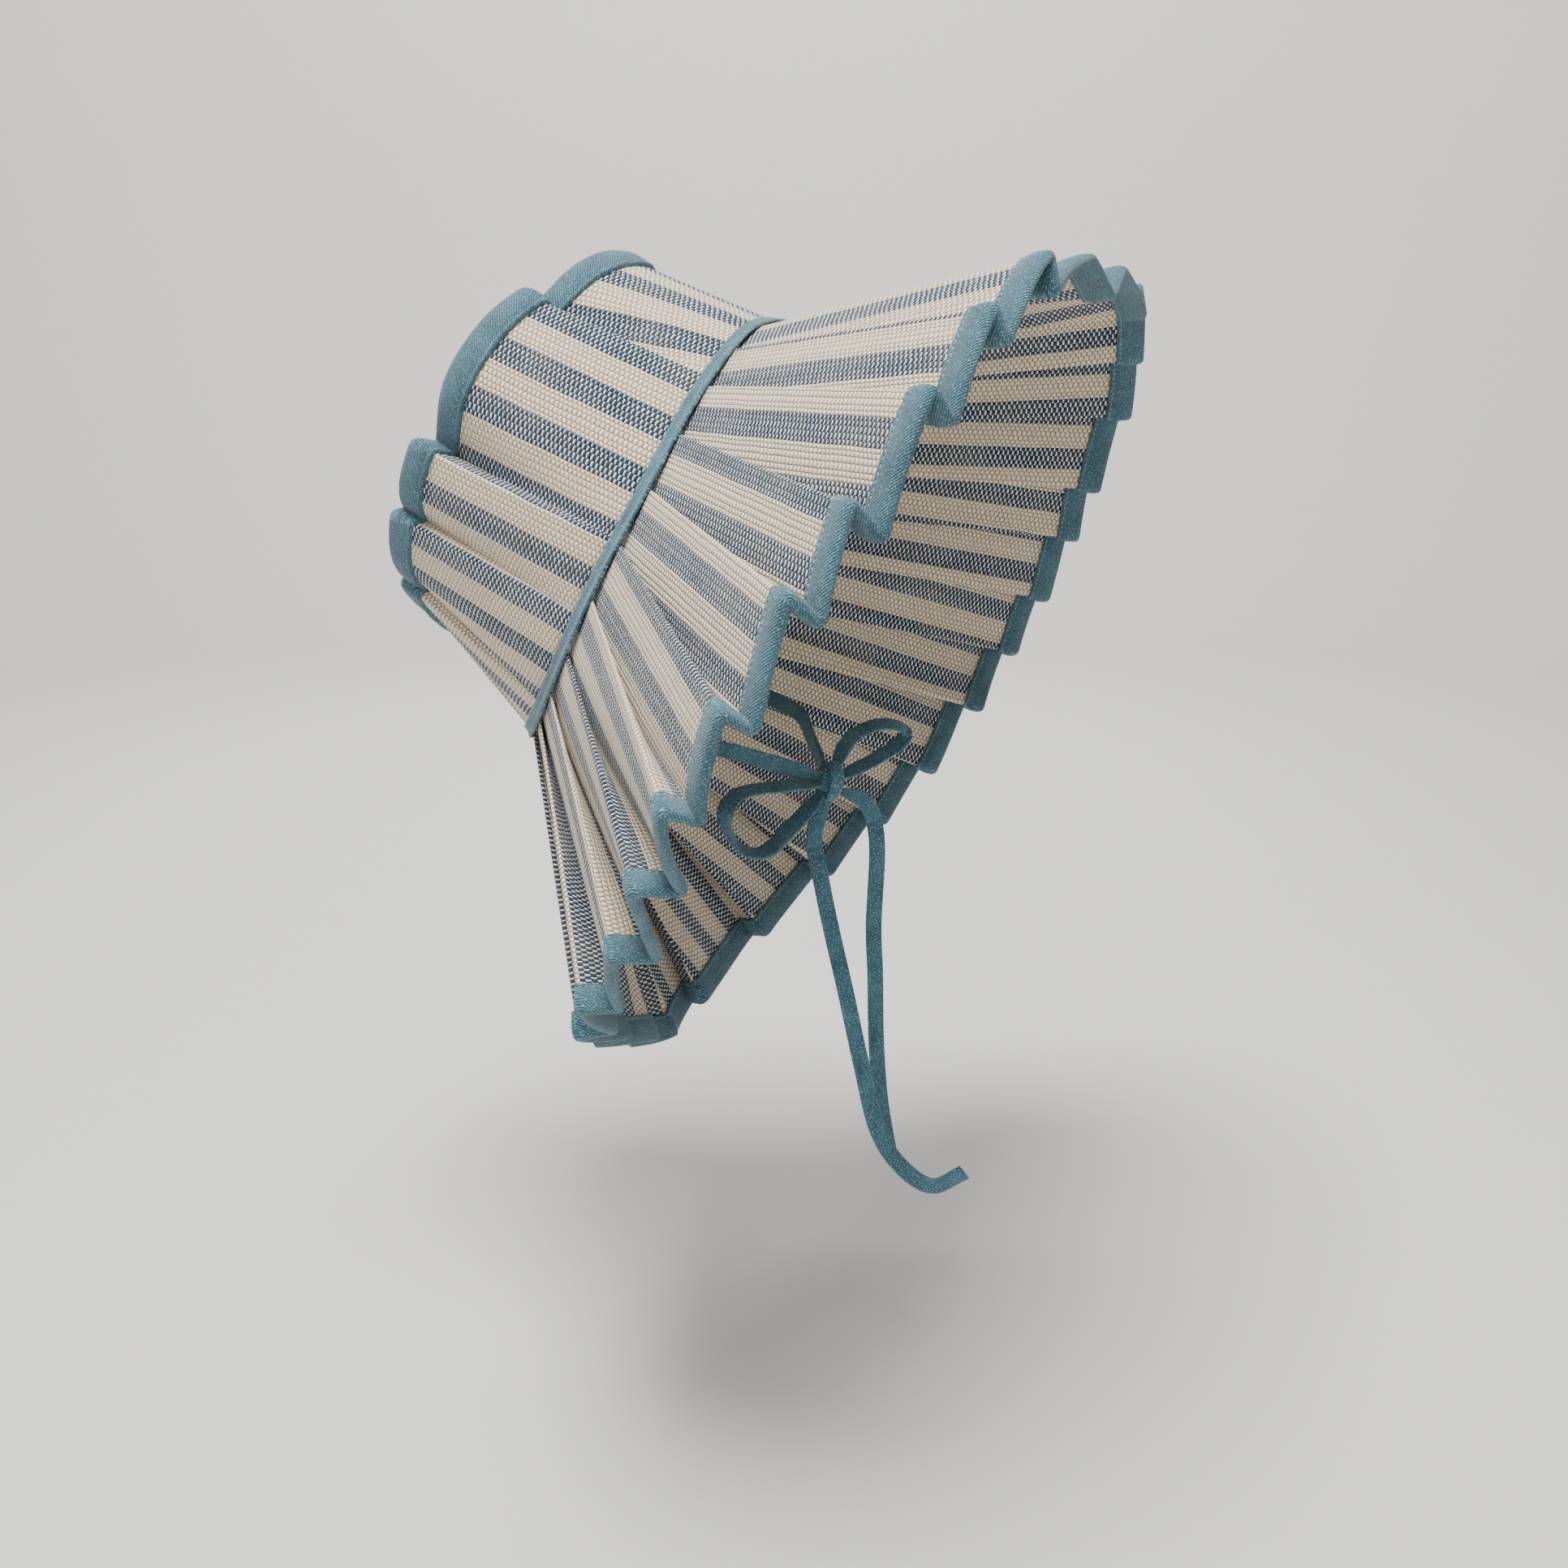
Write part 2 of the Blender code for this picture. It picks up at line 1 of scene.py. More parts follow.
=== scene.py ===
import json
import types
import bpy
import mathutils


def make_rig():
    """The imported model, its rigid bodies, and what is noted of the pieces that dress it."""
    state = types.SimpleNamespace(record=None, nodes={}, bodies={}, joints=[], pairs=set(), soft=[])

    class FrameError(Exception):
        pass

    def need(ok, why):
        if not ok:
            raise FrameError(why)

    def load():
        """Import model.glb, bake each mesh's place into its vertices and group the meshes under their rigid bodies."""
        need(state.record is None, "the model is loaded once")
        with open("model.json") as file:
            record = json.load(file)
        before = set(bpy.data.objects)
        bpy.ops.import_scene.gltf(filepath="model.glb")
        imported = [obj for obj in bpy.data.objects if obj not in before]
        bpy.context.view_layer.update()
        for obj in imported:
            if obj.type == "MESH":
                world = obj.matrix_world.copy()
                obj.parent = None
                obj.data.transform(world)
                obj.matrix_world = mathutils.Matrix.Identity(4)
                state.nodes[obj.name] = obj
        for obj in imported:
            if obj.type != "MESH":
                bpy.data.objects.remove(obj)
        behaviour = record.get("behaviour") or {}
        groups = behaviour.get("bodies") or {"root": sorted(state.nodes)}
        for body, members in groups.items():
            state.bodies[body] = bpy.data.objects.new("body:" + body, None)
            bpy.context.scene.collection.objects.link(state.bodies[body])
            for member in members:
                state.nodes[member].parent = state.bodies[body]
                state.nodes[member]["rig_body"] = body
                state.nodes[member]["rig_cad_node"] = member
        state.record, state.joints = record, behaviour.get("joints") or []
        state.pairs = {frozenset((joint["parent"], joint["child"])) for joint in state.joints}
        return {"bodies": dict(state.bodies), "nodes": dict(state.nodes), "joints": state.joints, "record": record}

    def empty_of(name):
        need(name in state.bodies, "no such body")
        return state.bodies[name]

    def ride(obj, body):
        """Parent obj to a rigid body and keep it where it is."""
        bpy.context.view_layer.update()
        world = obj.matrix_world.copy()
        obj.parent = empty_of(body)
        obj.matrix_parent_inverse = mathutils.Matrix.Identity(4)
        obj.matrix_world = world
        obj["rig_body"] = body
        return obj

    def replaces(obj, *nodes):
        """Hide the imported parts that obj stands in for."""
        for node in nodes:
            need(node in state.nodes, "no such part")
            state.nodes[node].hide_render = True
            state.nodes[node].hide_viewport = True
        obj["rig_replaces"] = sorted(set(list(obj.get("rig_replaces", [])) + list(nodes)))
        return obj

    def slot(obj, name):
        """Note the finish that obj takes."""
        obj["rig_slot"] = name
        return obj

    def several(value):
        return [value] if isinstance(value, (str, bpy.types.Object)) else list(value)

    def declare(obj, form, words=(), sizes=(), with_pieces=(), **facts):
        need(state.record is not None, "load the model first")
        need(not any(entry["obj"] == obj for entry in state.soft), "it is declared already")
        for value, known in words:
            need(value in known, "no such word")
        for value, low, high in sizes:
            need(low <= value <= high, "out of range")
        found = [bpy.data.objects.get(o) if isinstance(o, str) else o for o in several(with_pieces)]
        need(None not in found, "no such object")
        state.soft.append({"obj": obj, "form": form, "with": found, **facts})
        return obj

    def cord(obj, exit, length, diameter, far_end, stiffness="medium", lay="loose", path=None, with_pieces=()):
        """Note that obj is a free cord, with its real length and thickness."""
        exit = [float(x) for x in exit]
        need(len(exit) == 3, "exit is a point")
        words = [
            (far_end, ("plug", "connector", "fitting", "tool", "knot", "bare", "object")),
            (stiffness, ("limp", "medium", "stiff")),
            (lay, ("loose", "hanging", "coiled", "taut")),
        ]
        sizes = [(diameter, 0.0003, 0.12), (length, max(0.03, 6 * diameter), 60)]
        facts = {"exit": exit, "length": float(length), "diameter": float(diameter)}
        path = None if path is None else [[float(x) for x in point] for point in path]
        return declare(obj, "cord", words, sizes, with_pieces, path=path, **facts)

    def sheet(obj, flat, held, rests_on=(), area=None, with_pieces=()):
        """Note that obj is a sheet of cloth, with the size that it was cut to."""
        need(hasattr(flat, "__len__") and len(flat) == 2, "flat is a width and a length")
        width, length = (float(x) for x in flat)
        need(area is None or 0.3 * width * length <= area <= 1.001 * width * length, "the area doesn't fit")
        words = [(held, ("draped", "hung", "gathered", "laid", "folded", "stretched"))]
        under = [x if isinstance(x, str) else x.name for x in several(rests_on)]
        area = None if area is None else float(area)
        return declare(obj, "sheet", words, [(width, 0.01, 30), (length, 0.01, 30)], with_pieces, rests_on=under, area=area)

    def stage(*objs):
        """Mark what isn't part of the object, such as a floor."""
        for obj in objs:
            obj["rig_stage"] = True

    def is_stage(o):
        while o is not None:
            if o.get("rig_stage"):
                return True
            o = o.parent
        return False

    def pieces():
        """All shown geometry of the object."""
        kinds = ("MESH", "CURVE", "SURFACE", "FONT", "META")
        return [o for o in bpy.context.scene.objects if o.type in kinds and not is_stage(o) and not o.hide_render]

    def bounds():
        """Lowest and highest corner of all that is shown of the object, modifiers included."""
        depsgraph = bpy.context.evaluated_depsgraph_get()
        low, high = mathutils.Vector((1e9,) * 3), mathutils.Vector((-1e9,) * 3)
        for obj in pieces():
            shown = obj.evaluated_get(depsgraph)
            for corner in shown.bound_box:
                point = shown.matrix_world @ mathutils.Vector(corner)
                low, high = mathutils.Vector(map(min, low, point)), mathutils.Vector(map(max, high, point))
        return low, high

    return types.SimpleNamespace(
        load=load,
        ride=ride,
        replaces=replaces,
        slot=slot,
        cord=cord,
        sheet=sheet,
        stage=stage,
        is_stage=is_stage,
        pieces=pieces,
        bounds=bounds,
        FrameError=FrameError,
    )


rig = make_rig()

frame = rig.load()
solids_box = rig.bounds()

import json
from collections import namedtuple
from math import cos, pi, radians, sin

import bmesh
import bpy
from mathutils import Matrix, Vector

# ---------------------------------------------------------------------------------------------
# Camera: level with the wearer's brow, beside the left cheek and a little in front of it.
# ---------------------------------------------------------------------------------------------
view_camera = bpy.data.objects.new("camera", bpy.data.cameras.new("camera"))
view_camera.data.lens = 36.1
view_camera.data.sensor_width = 36.0
view_camera.data.clip_start = 0.01
view_camera.location = (-0.591, -0.2545, -0.030)
looks_at = Vector((0.0, -0.0035, -0.184))
view_camera.rotation_euler = (looks_at - view_camera.location).to_track_quat("-Z", "Y").to_euler()
bpy.context.collection.objects.link(view_camera)
bpy.context.scene.camera = view_camera

# ---------------------------------------------------------------------------------------------
# Brim: one long strip of stiff striped cloth, laid in pleats that fold away from the top on both
# sides. It is sewn flat into the seam under the band, where each pleat laps the next one, and
# fans open to its front edge.
# ---------------------------------------------------------------------------------------------
LEAN = radians(34)
AXIS = Vector((0, -cos(LEAN), -sin(LEAN)))
RISE = Vector((0, -sin(LEAN), cos(LEAN)))
SEAM_HALF_WIDTH, SEAM_HALF_HEIGHT, SEAM_BOW = 0.082, 0.101, 0.022
CENTRE = -(SEAM_HALF_HEIGHT - 0.0015) * RISE
BRIM_HALF_WIDTH, BRIM_HALF_HEIGHT, BRIM_REACH = 0.190, 0.180, 0.125
PLEATS_PER_SIDE = 14
PLEAT_PITCH = 180 / (PLEATS_PER_SIDE - 0.5)
PLEAT_RIDGES = [PLEAT_PITCH / 3] + [k * PLEAT_PITCH for k in range(1, PLEATS_PER_SIDE)]
PLEAT_DEPTH = 0.014
PLEAT_LAP = 1.88          # how far a pleat runs on under the next ones at the seam, in pitches
PLEAT_LAP_DEPTH = 0.0044
CLOTH_THICKNESS = 0.0009
MIRROR = Vector((-1, 1, 1))

Ring = namedtuple("Ring", "turn across up out deep")
SEAM_RING = [
    Ring(0, 0.00, 1.00, 0.00, 0), Ring(20, 0.36, 0.95, 0.10, 0), Ring(45, 0.74, 0.72, 0.50, 0),
    Ring(70, 0.97, 0.36, 0.90, 0), Ring(90, 1.00, 0.02, 1.00, 0), Ring(110, 0.90, -0.36, 1.00, 0),
    Ring(135, 0.62, -0.74, 0.75, 0), Ring(160, 0.27, -0.95, 0.25, 0), Ring(180, 0.00, -1.00, 0.00, 0),
]
BRIM_RING = [
    Ring(0, 0.00, 1.05, 0.78, 0.8), Ring(13, 0.39, 1.03, 0.77, 0.8), Ring(27, 0.59, 0.92, 0.80, 0.8),
    Ring(40, 0.73, 0.78, 0.84, 0.9), Ring(53, 0.83, 0.58, 0.87, 1.1), Ring(67, 0.92, 0.41, 0.90, 1.0),
    Ring(80, 0.98, 0.21, 0.94, 0.9), Ring(93, 1.00, 0.02, 0.96, 0.9), Ring(107, 0.94, -0.18, 0.98, 1.2),
    Ring(120, 0.85, -0.37, 1.00, 1.1), Ring(133, 0.78, -0.55, 0.98, 1.0), Ring(147, 0.62, -0.73, 0.96, 1.0),
    Ring(160, 0.40, -0.88, 0.95, 0.9), Ring(173, 0.16, -1.00, 0.97, 0.8), Ring(180, 0.00, -1.06, 0.98, 0.8),
]


def read_ring(rows, turn, column):
    """Smooth curve through one column of a table, carried on past the top and the nape."""
    odd = -1 if column == "across" else 1
    turns = [row.turn for row in rows]
    values = [getattr(row, column) for row in rows]
    turns = [-turns[1]] + turns + [360 - turns[-2]]
    values = [odd * values[1]] + values + [odd * values[-2]]
    k = 1
    while k < len(rows) - 1 and turns[k + 1] < turn:
        k += 1
    before = (values[k + 1] - values[k - 1]) / (turns[k + 1] - turns[k - 1])
    after = (values[k + 2] - values[k]) / (turns[k + 2] - turns[k])
    span = turns[k + 1] - turns[k]
    t = (turn - turns[k]) / span
    return ((2 * t**3 - 3 * t**2 + 1) * values[k] + (t**3 - 2 * t**2 + t) * span * before
            + (3 * t**2 - 2 * t**3) * values[k + 1] + (t**3 - t**2) * span * after)


def ring_point(rows, turn, half_width, half_height, reach):
    """Point of the left side, at -X."""
    return (CENTRE + Vector((-read_ring(rows, turn, "across") * half_width, 0, 0))
            + RISE * read_ring(rows, turn, "up") * half_height
            + AXIS * read_ring(rows, turn, "out") * reach)


def seam_point(turn):
    return ring_point(SEAM_RING, turn, SEAM_HALF_WIDTH, SEAM_HALF_HEIGHT, SEAM_BOW)


def brim_point(turn):
    return ring_point(BRIM_RING, turn, BRIM_HALF_WIDTH, BRIM_HALF_HEIGHT, BRIM_REACH)


def seam_outward(turn):
    along = seam_point(min(turn + 2, 180)) - seam_point(max(turn - 2, 0))
    out = along.cross(AXIS).normalized()
    return out if out.dot(seam_point(turn) - CENTRE) > 0 else -out


def edge_outward(edge_point, turn):
    along = edge_point(min(turn + 2, 180)) - edge_point(max(turn - 2, 0))
    out = along.cross(edge_point(turn) - seam_point(turn)).normalized()
    return out if out.dot(edge_point(turn) - CENTRE) > 0 else -out


def uneven(k, kind=0):
    """A fixed small irregularity of hand-laid folds, from -1 to 1."""
    return sin(12.99 * k + 7.31 * kind + 1.7)


# One line of the cloth, from the seam to the edge. ridge and way say from which ridge, and to
# which side of it, the cloth up to the next line is measured.
Line = namedtuple("Line", "start end ridge way")
FoldStep = namedtuple("FoldStep", "at_seam at_edge")
PANEL_STEPS = [FoldStep(0.0, 0.0), FoldStep(0.03, 0.075), FoldStep(0.24, 0.27), FoldStep(0.5, 0.5),
               FoldStep(0.76, 0.73), FoldStep(0.965, 0.915)]
LAP_STEPS = [FoldStep(0.0, 0.0), FoldStep(0.07, 0.20), FoldStep(0.5, 0.5), FoldStep(0.93, 0.80)]
PANEL_BOW = 0.055         # outward curve of a pleat's wide face at the edge, as a share of its depth


def brim_line(seam_turn, seam_sink, edge_turn, edge_sink, ridge, way):
    start = seam_point(min(seam_turn, 179.5)) - seam_outward(min(seam_turn, 179.5)) * seam_sink
    turn = min(edge_turn, 180)
    depth = read_ring(BRIM_RING, turn, "deep") * PLEAT_DEPTH * edge_sink
    end = brim_point(turn) - edge_outward(brim_point, turn) * depth
    return Line(start, end, ridge, way)


def brim_side():
    """Lines of the left side, from the valley at the top to the one at the nape."""
    lines = []
    for step in LAP_STEPS:
        share = step.at_edge
        turn = share * PLEAT_RIDGES[0]
        lines.append(brim_line(turn, (1 - share) * 0.003, turn, 1 - share, 0, -1))
    for k, ridge in enumerate(PLEAT_RIDGES):
        last = ridge == PLEAT_RIDGES[-1]
        width = (180 if last else PLEAT_RIDGES[k + 1]) - ridge
        lap = 1.0 if last else min(PLEAT_LAP, (178.5 - ridge) / width)
        lap_depth = PLEAT_LAP_DEPTH * lap / PLEAT_LAP
        valley = 1.0 if last else 1.03 + 0.03 * uneven(k)
        for step in PANEL_STEPS:
            t, s = step.at_seam, step.at_edge
            sink = s - PANEL_BOW * 4 * s * (1 - s)
            lines.append(brim_line(ridge + t * lap * width, t * lap_depth,
                                   ridge + s * valley * width, sink, k, 1))
        if last:
            lines.append(brim_line(180, lap_depth, 180, 1.0, k, 1))
            break
        for step in LAP_STEPS:
            t, s = step.at_seam, step.at_edge
            lines.append(brim_line(ridge + (lap + t * (1 - lap)) * width, (1 - t) * lap_depth,
                                   ridge + (valley + s * (1 - valley)) * width, 1 - s, k + 1, -1))
    return lines


LINE_STEPS = 3


def rounded(points):
    """The closed line of points with its corners rounded as a bent cloth rounds them."""
    count = len(points)
    line = []
    for k in range(count):
        a, b, c, d = (points[(k + j) % count] for j in (-1, 0, 1, 2))
        for j in range(LINE_STEPS):
            t = j / LINE_STEPS
            line.append((a * (1 - t)**3 + b * (3 * t**3 - 6 * t**2 + 4)
                         + c * (-3 * t**3 + 3 * t**2 + 3 * t + 1) + d * t**3) / 6)
    return line


class Folded:
    """Cloth laid in folds right round the head, mirrored from its left side."""

    def __init__(self, left, ridge_places, outward):
        middle = left[1:-1]
        ring = left + [Line(a.start * MIRROR, a.end * MIRROR, a.ridge, a.way) for a in middle[::-1]]
        self.starts = rounded([line.start for line in ring])
        self.ends = rounded([line.end for line in ring])
        self.count = len(self.starts)
        half = len(left) - 1
        self.homes = []
        for k in range(len(ring)):
            if k < half:
                home = (ring[k].ridge, ring[k].way, 1)
            else:
                other = ring[(k + 1) % len(ring)]
                home = (other.ridge, other.way, -1)
            self.homes += [home] * LINE_STEPS
        self.ridges = {}
        for k, line in enumerate(left[:-1]):
            if line.way > 0 and line.ridge not in self.ridges:
                self.ridges[line.ridge] = k * LINE_STEPS
        self.places = ridge_places
        self.outward = outward

    def at(self, k, share):
        a, b = self.starts[k % self.count], self.ends[k % self.count]
        return a + (b - a) * share

    def from_edge(self, k, distance):
        length = (self.ends[k % self.count] - self.starts[k % self.count]).length
        return self.at(k, 1 - distance / length)

    def normal(self, k, distance):
        along = self.from_edge(k + 1, distance) - self.from_edge(k - 1, distance)
        run = self.ends[k % self.count] - self.starts[k % self.count]
        return along.cross(run).normalized() * self.outward

    def cloth_place(self, column, point):
        """Where a point lies on the flat cloth: across its stripes and along them."""
        ridge, way, side = self.homes[column % self.count]
        k = self.ridges[ridge]
        origin, end = self.starts[k], self.ends[k]
        if side < 0:
            origin, end = origin * MIRROR, end * MIRROR
        run = (end - origin).normalized()
        offset = point - origin
        along = offset.dot(run)
        across = (offset - run * along).length
        return side * (self.places[ridge] + way * across), along


def laid_sheet(name, across, along, place, chart):
    """A flat grid of cloth, each of its crossings then laid where place(i, j) says."""
    bm = bmesh.new()
    bmesh.ops.create_grid(bm, x_segments=across, y_segments=along, size=1)
    low = min(v.co.x for v in bm.verts)
    size = -2 * low

    def crossing(v):
        return (round((v.co.x - low) / size * across), round((v.co.y - low) / size * along))
    marks = {v: crossing(v) for v in bm.verts}
    layer = bm.loops.layers.uv.new("flat_cloth")
    columns = {f: min(marks[v][0] for v in f.verts) for f in bm.faces}
    for v, (i, j) in marks.items():
        v.co = place(i, j)
    for face in bm.faces:
        for loop in face.loops:
            i, j = marks[loop.vert]
            loop[layer].uv = chart(columns[face], i, j, loop.vert.co)
    bmesh.ops.remove_doubles(bm, verts=bm.verts, dist=1e-6)
    bmesh.ops.recalc_face_normals(bm, faces=bm.faces)
    return bm


def finished_piece(name, bm, material, slot_name, smooth=True):
    mesh = bpy.data.meshes.new(name)
    bm.to_mesh(mesh)
    bm.free()
    mesh.materials.append(material)
    mesh.polygons.foreach_set("use_smooth", [smooth] * len(mesh.polygons))
    piece = bpy.data.objects.new(name, mesh)
    bpy.context.collection.objects.link(piece)
    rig.ride(piece, "root")
    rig.slot(piece, slot_name)
    return piece


# The finish of the cloth: ribs of hard-twisted navy or cream warp, with a white weft that shows
# as a row of small grains on each rib
class Wires:
    """Short words for the sums of a node tree."""

    def __init__(self, tree):
        self.tree = tree

    def node(self, kind, **settings):
        made = self.tree.nodes.new(kind)
        for key, value in settings.items():
            setattr(made, key, value)
        return made

    def put(self, socket, value):
        if isinstance(value, bpy.types.NodeSocket):
            self.tree.links.new(value, socket)
        elif isinstance(value, tuple) and len(value) == 3 and socket.type == "RGBA":
            socket.default_value = (*value, 1)
        else:
            socket.default_value = value

    def sum(self, operation, *values):
        made = self.node("ShaderNodeMath", operation=operation)
        for socket, value in zip(made.inputs, values):
            self.put(socket, value)
        return made.outputs[0]

    def ease(self, value, low, high, to_low=0.0, to_high=1.0):
        made = self.node("ShaderNodeMapRange", interpolation_type="SMOOTHSTEP")
        for socket, number in zip(made.inputs, (value, low, high, to_low, to_high)):
            self.put(socket, number)
        return made.outputs[0]

    def blend(self, share, first, second, kind="MIX"):
        made = self.node("ShaderNodeMix", data_type="RGBA", blend_type=kind)
        self.put(made.inputs["Factor"], share)
        self.put(made.inputs["A"], first)
        self.put(made.inputs["B"], second)
        return made.outputs["Result"]

    def noise(self, vector, scale, detail=2.0):
        made = self.node("ShaderNodeTexNoise")
        self.put(made.inputs["Vector"], vector)
        made.inputs["Scale"].default_value = scale
        made.inputs["Detail"].default_value = detail
        return made.outputs["Fac"]

    def chance(self, x, y=0.0):
        pair = self.node("ShaderNodeCombineXYZ")
        self.put(pair.inputs[0], x)
        self.put(pair.inputs[1], y)
        made = self.node("ShaderNodeTexWhiteNoise", noise_dimensions="3D")
        self.tree.links.new(pair.outputs[0], made.inputs["Vector"])
        return made.outputs["Value"]


def effect_group(name, inputs, outputs):
    """A shader node group with its sockets made, and the wires to fill it with."""
    group = bpy.data.node_groups.new(name, "ShaderNodeTree")
    for label, kind in inputs:
        group.interface.new_socket(name=label, in_out="INPUT", socket_type=kind)
    for label, kind in outputs:
        group.interface.new_socket(name=label, in_out="OUTPUT", socket_type=kind)
    wires = Wires(group)
    return group, wires, wires.node("NodeGroupInput"), wires.node("NodeGroupOutput")


def from_srgb(red, green, blue):
    return tuple((c / 255 / 12.92) if c <= 10 else ((c / 255 + 0.055) / 1.055) ** 2.4
                 for c in (red, green, blue))


FLOAT, COLOUR, VECTOR = "NodeSocketFloat", "NodeSocketColor", "NodeSocketVector"
RIB = 1.92                # mean width of a rib, in mm
PICK = 1.15               # from one weft thread to the next, in mm
NAVY_RIBS, STRIPE_RIBS = 5, 11
MM = 1000.0
RIB_SWELL = 0.20          # how much wider the middle ribs of a stripe are
YARN_DRIFT, WEFT_DRIFT = 0.9, 0.8         # how far the threads wander, in mm
WEFT_SHOWS, NAVY_HIDES_WEFT = 0.50, 0.74  # more shows more weft, and navy ribs show less of it
GRAIN_BEND, GRAIN_EDGE = 0.45, 0.08
# how wide and how dark the painted shade is in the hollow between two ribs
GAP_SHADE_WIDTH, GAP_SHADE_STRENGTH = 0.55, 0.88
WEAVE_RELIEF = 0.00060    # from the hollow between two threads to their crown, in metres

weave, w, weave_in, weave_out = effect_group(
    "striped_weave", [("Cloth", VECTOR), ("Shift", FLOAT)],
    [("Color", COLOUR), ("Height", FLOAT), ("Roughness", FLOAT)])
flat = w.node("ShaderNodeSeparateXYZ")
w.put(flat.inputs[0], weave_in.outputs["Cloth"])
across = w.sum("MULTIPLY_ADD", flat.outputs[0], MM, weave_in.outputs["Shift"])
along = w.sum("MULTIPLY", flat.outputs[1], MM)
drift = w.noise(weave_in.outputs["Cloth"], 60.0, 3.0)
across = w.sum("MULTIPLY_ADD", drift, YARN_DRIFT, across)
# ribs are wider in the middle of a stripe than at its sides
half_stripe = w.sum("DIVIDE", across, RIB * STRIPE_RIBS / 2)
swell = w.sum("SINE", w.sum("MULTIPLY", half_stripe, 2 * pi))
ribs = w.sum("MULTIPLY_ADD", swell, RIB_SWELL, w.sum("DIVIDE", across, RIB))
rib_number = w.sum("FLOOR", ribs)
in_rib = w.sum("MULTIPLY_ADD", w.sum("FRACT", ribs), 2.0, -1.0)
rib_bend = w.sum("MULTIPLY", in_rib, in_rib)
rib_chance = w.chance(rib_number)
rib_in_stripe = w.sum("FLOORED_MODULO", rib_number, float(STRIPE_RIBS))
navy_rib = w.sum("LESS_THAN", rib_in_stripe, NAVY_RIBS - 0.5)
row_drift = w.noise(weave_in.outputs["Cloth"], 130.0, 2.0)
picks = w.sum("ADD", w.sum("DIVIDE", w.sum("MULTIPLY_ADD", row_drift, WEFT_DRIFT, along), PICK), rib_number)
wave = w.sum("COSINE", w.sum("MULTIPLY_ADD", rib_bend, w.sum("MULTIPLY_ADD", rib_chance, 0.5, GRAIN_BEND),
                             w.sum("MULTIPLY", picks, pi)))
grain_number = w.sum("FLOOR", w.sum("ADD", picks, 0.5))
grain_chance = w.chance(rib_number, grain_number)
# where the white weft lies on top
limit = w.sum("MULTIPLY_ADD", grain_chance, 0.35, w.sum("MULTIPLY_ADD", rib_chance, 0.35, -WEFT_SHOWS))
limit = w.sum("MULTIPLY_ADD", navy_rib, NAVY_HIDES_WEFT, limit)
on_top = w.ease(w.sum("SUBTRACT", wave, limit), -GRAIN_EDGE, GRAIN_EDGE)
rib_profile = w.sum("SUBTRACT", 1.0, w.sum("POWER", w.sum("ABSOLUTE", in_rib), 3.2))
thread = w.sum("POWER", w.sum("ABSOLUTE", w.sum("SUBTRACT", wave, limit)), 0.55)
height = w.sum("MULTIPLY", rib_profile, w.sum("MULTIPLY_ADD", thread, 0.75, 0.25))
weft_colour = w.blend(grain_chance, from_srgb(240, 246, 248), from_srgb(252, 253, 250))
navy_colour = w.blend(grain_chance, from_srgb(2, 28, 50), from_srgb(6, 50, 72))
cream_colour = w.blend(grain_chance, from_srgb(240, 228, 196), from_srgb(250, 242, 220))
# painted shade: on cream ribs a sand tone darkens the dips of the weft between two grains, where shade falls
sand_shade_colour = w.blend(rib_chance, from_srgb(160, 122, 70), from_srgb(196, 162, 108))
cream_weft = w.blend(0.45, weft_colour, cream_colour)
cream_under_shaded = w.blend(w.ease(wave, -1.0, 0.1, 1.0, 0.0), cream_colour, sand_shade_colour)
below = w.blend(navy_rib, cream_under_shaded, navy_colour)
above = w.blend(navy_rib, cream_weft, weft_colour)
cloth_colour = w.blend(on_top, below, above)
# painted shade: the hollow between two ribs is darkened in the colour, dark navy on navy ribs and brown on cream ribs
gap_shade_mask = w.ease(rib_profile, 0.0, GAP_SHADE_WIDTH, 1.0, 0.0)
gap_shade_colour = w.blend(navy_rib, from_srgb(120, 88, 50), from_srgb(2, 20, 38))
cloth_colour = w.blend(w.sum("MULTIPLY", gap_shade_mask, GAP_SHADE_STRENGTH), cloth_colour, gap_shade_colour)
wear = w.noise(weave_in.outputs["Cloth"], 24.0, 4.0)
cloth_colour = w.blend(w.ease(wear, 0.35, 0.8, 0.0, 0.10), cloth_colour, from_srgb(214, 196, 160))
w.put(weave_out.inputs["Color"], cloth_colour)
w.put(weave_out.inputs["Height"], height)
w.put(weave_out.inputs["Roughness"], w.sum("MULTIPLY_ADD", grain_chance, 0.15, 0.68))


def new_material(name, roughness, sheen=0.0):
    material = bpy.data.materials.new(name)
    material.use_nodes = True
    wires = Wires(material.node_tree)
    shader = material.node_tree.nodes["Principled BSDF"]
    shader.inputs["Roughness"].default_value = roughness
    shader.inputs["Specular IOR Level"].default_value = 0.3
    shader.inputs["Sheen Weight"].default_value = sheen
    return material, wires, shader


def cloth_material(name, shift):
    """The striped cloth, its stripes shifted to where this piece was cut."""
    material, wires, shader = new_material(name, 0.75, 0.15)
    chart = wires.node("ShaderNodeUVMap", uv_map="flat_cloth")
    effect = wires.node("ShaderNodeGroup", node_tree=weave)
    wires.put(effect.inputs["Cloth"], chart.outputs[0])
    effect.inputs["Shift"].default_value = shift
    bump = wires.node("ShaderNodeBump")
    bump.inputs["Distance"].default_value = WEAVE_RELIEF
    bump.inputs["Strength"].default_value = 1.0
    wires.put(bump.inputs["Height"], effect.outputs["Height"])
    wires.put(shader.inputs["Base Color"], effect.outputs["Color"])
    wires.put(shader.inputs["Roughness"], effect.outputs["Roughness"])
    wires.put(shader.inputs["Normal"], bump.outputs[0])
    return material


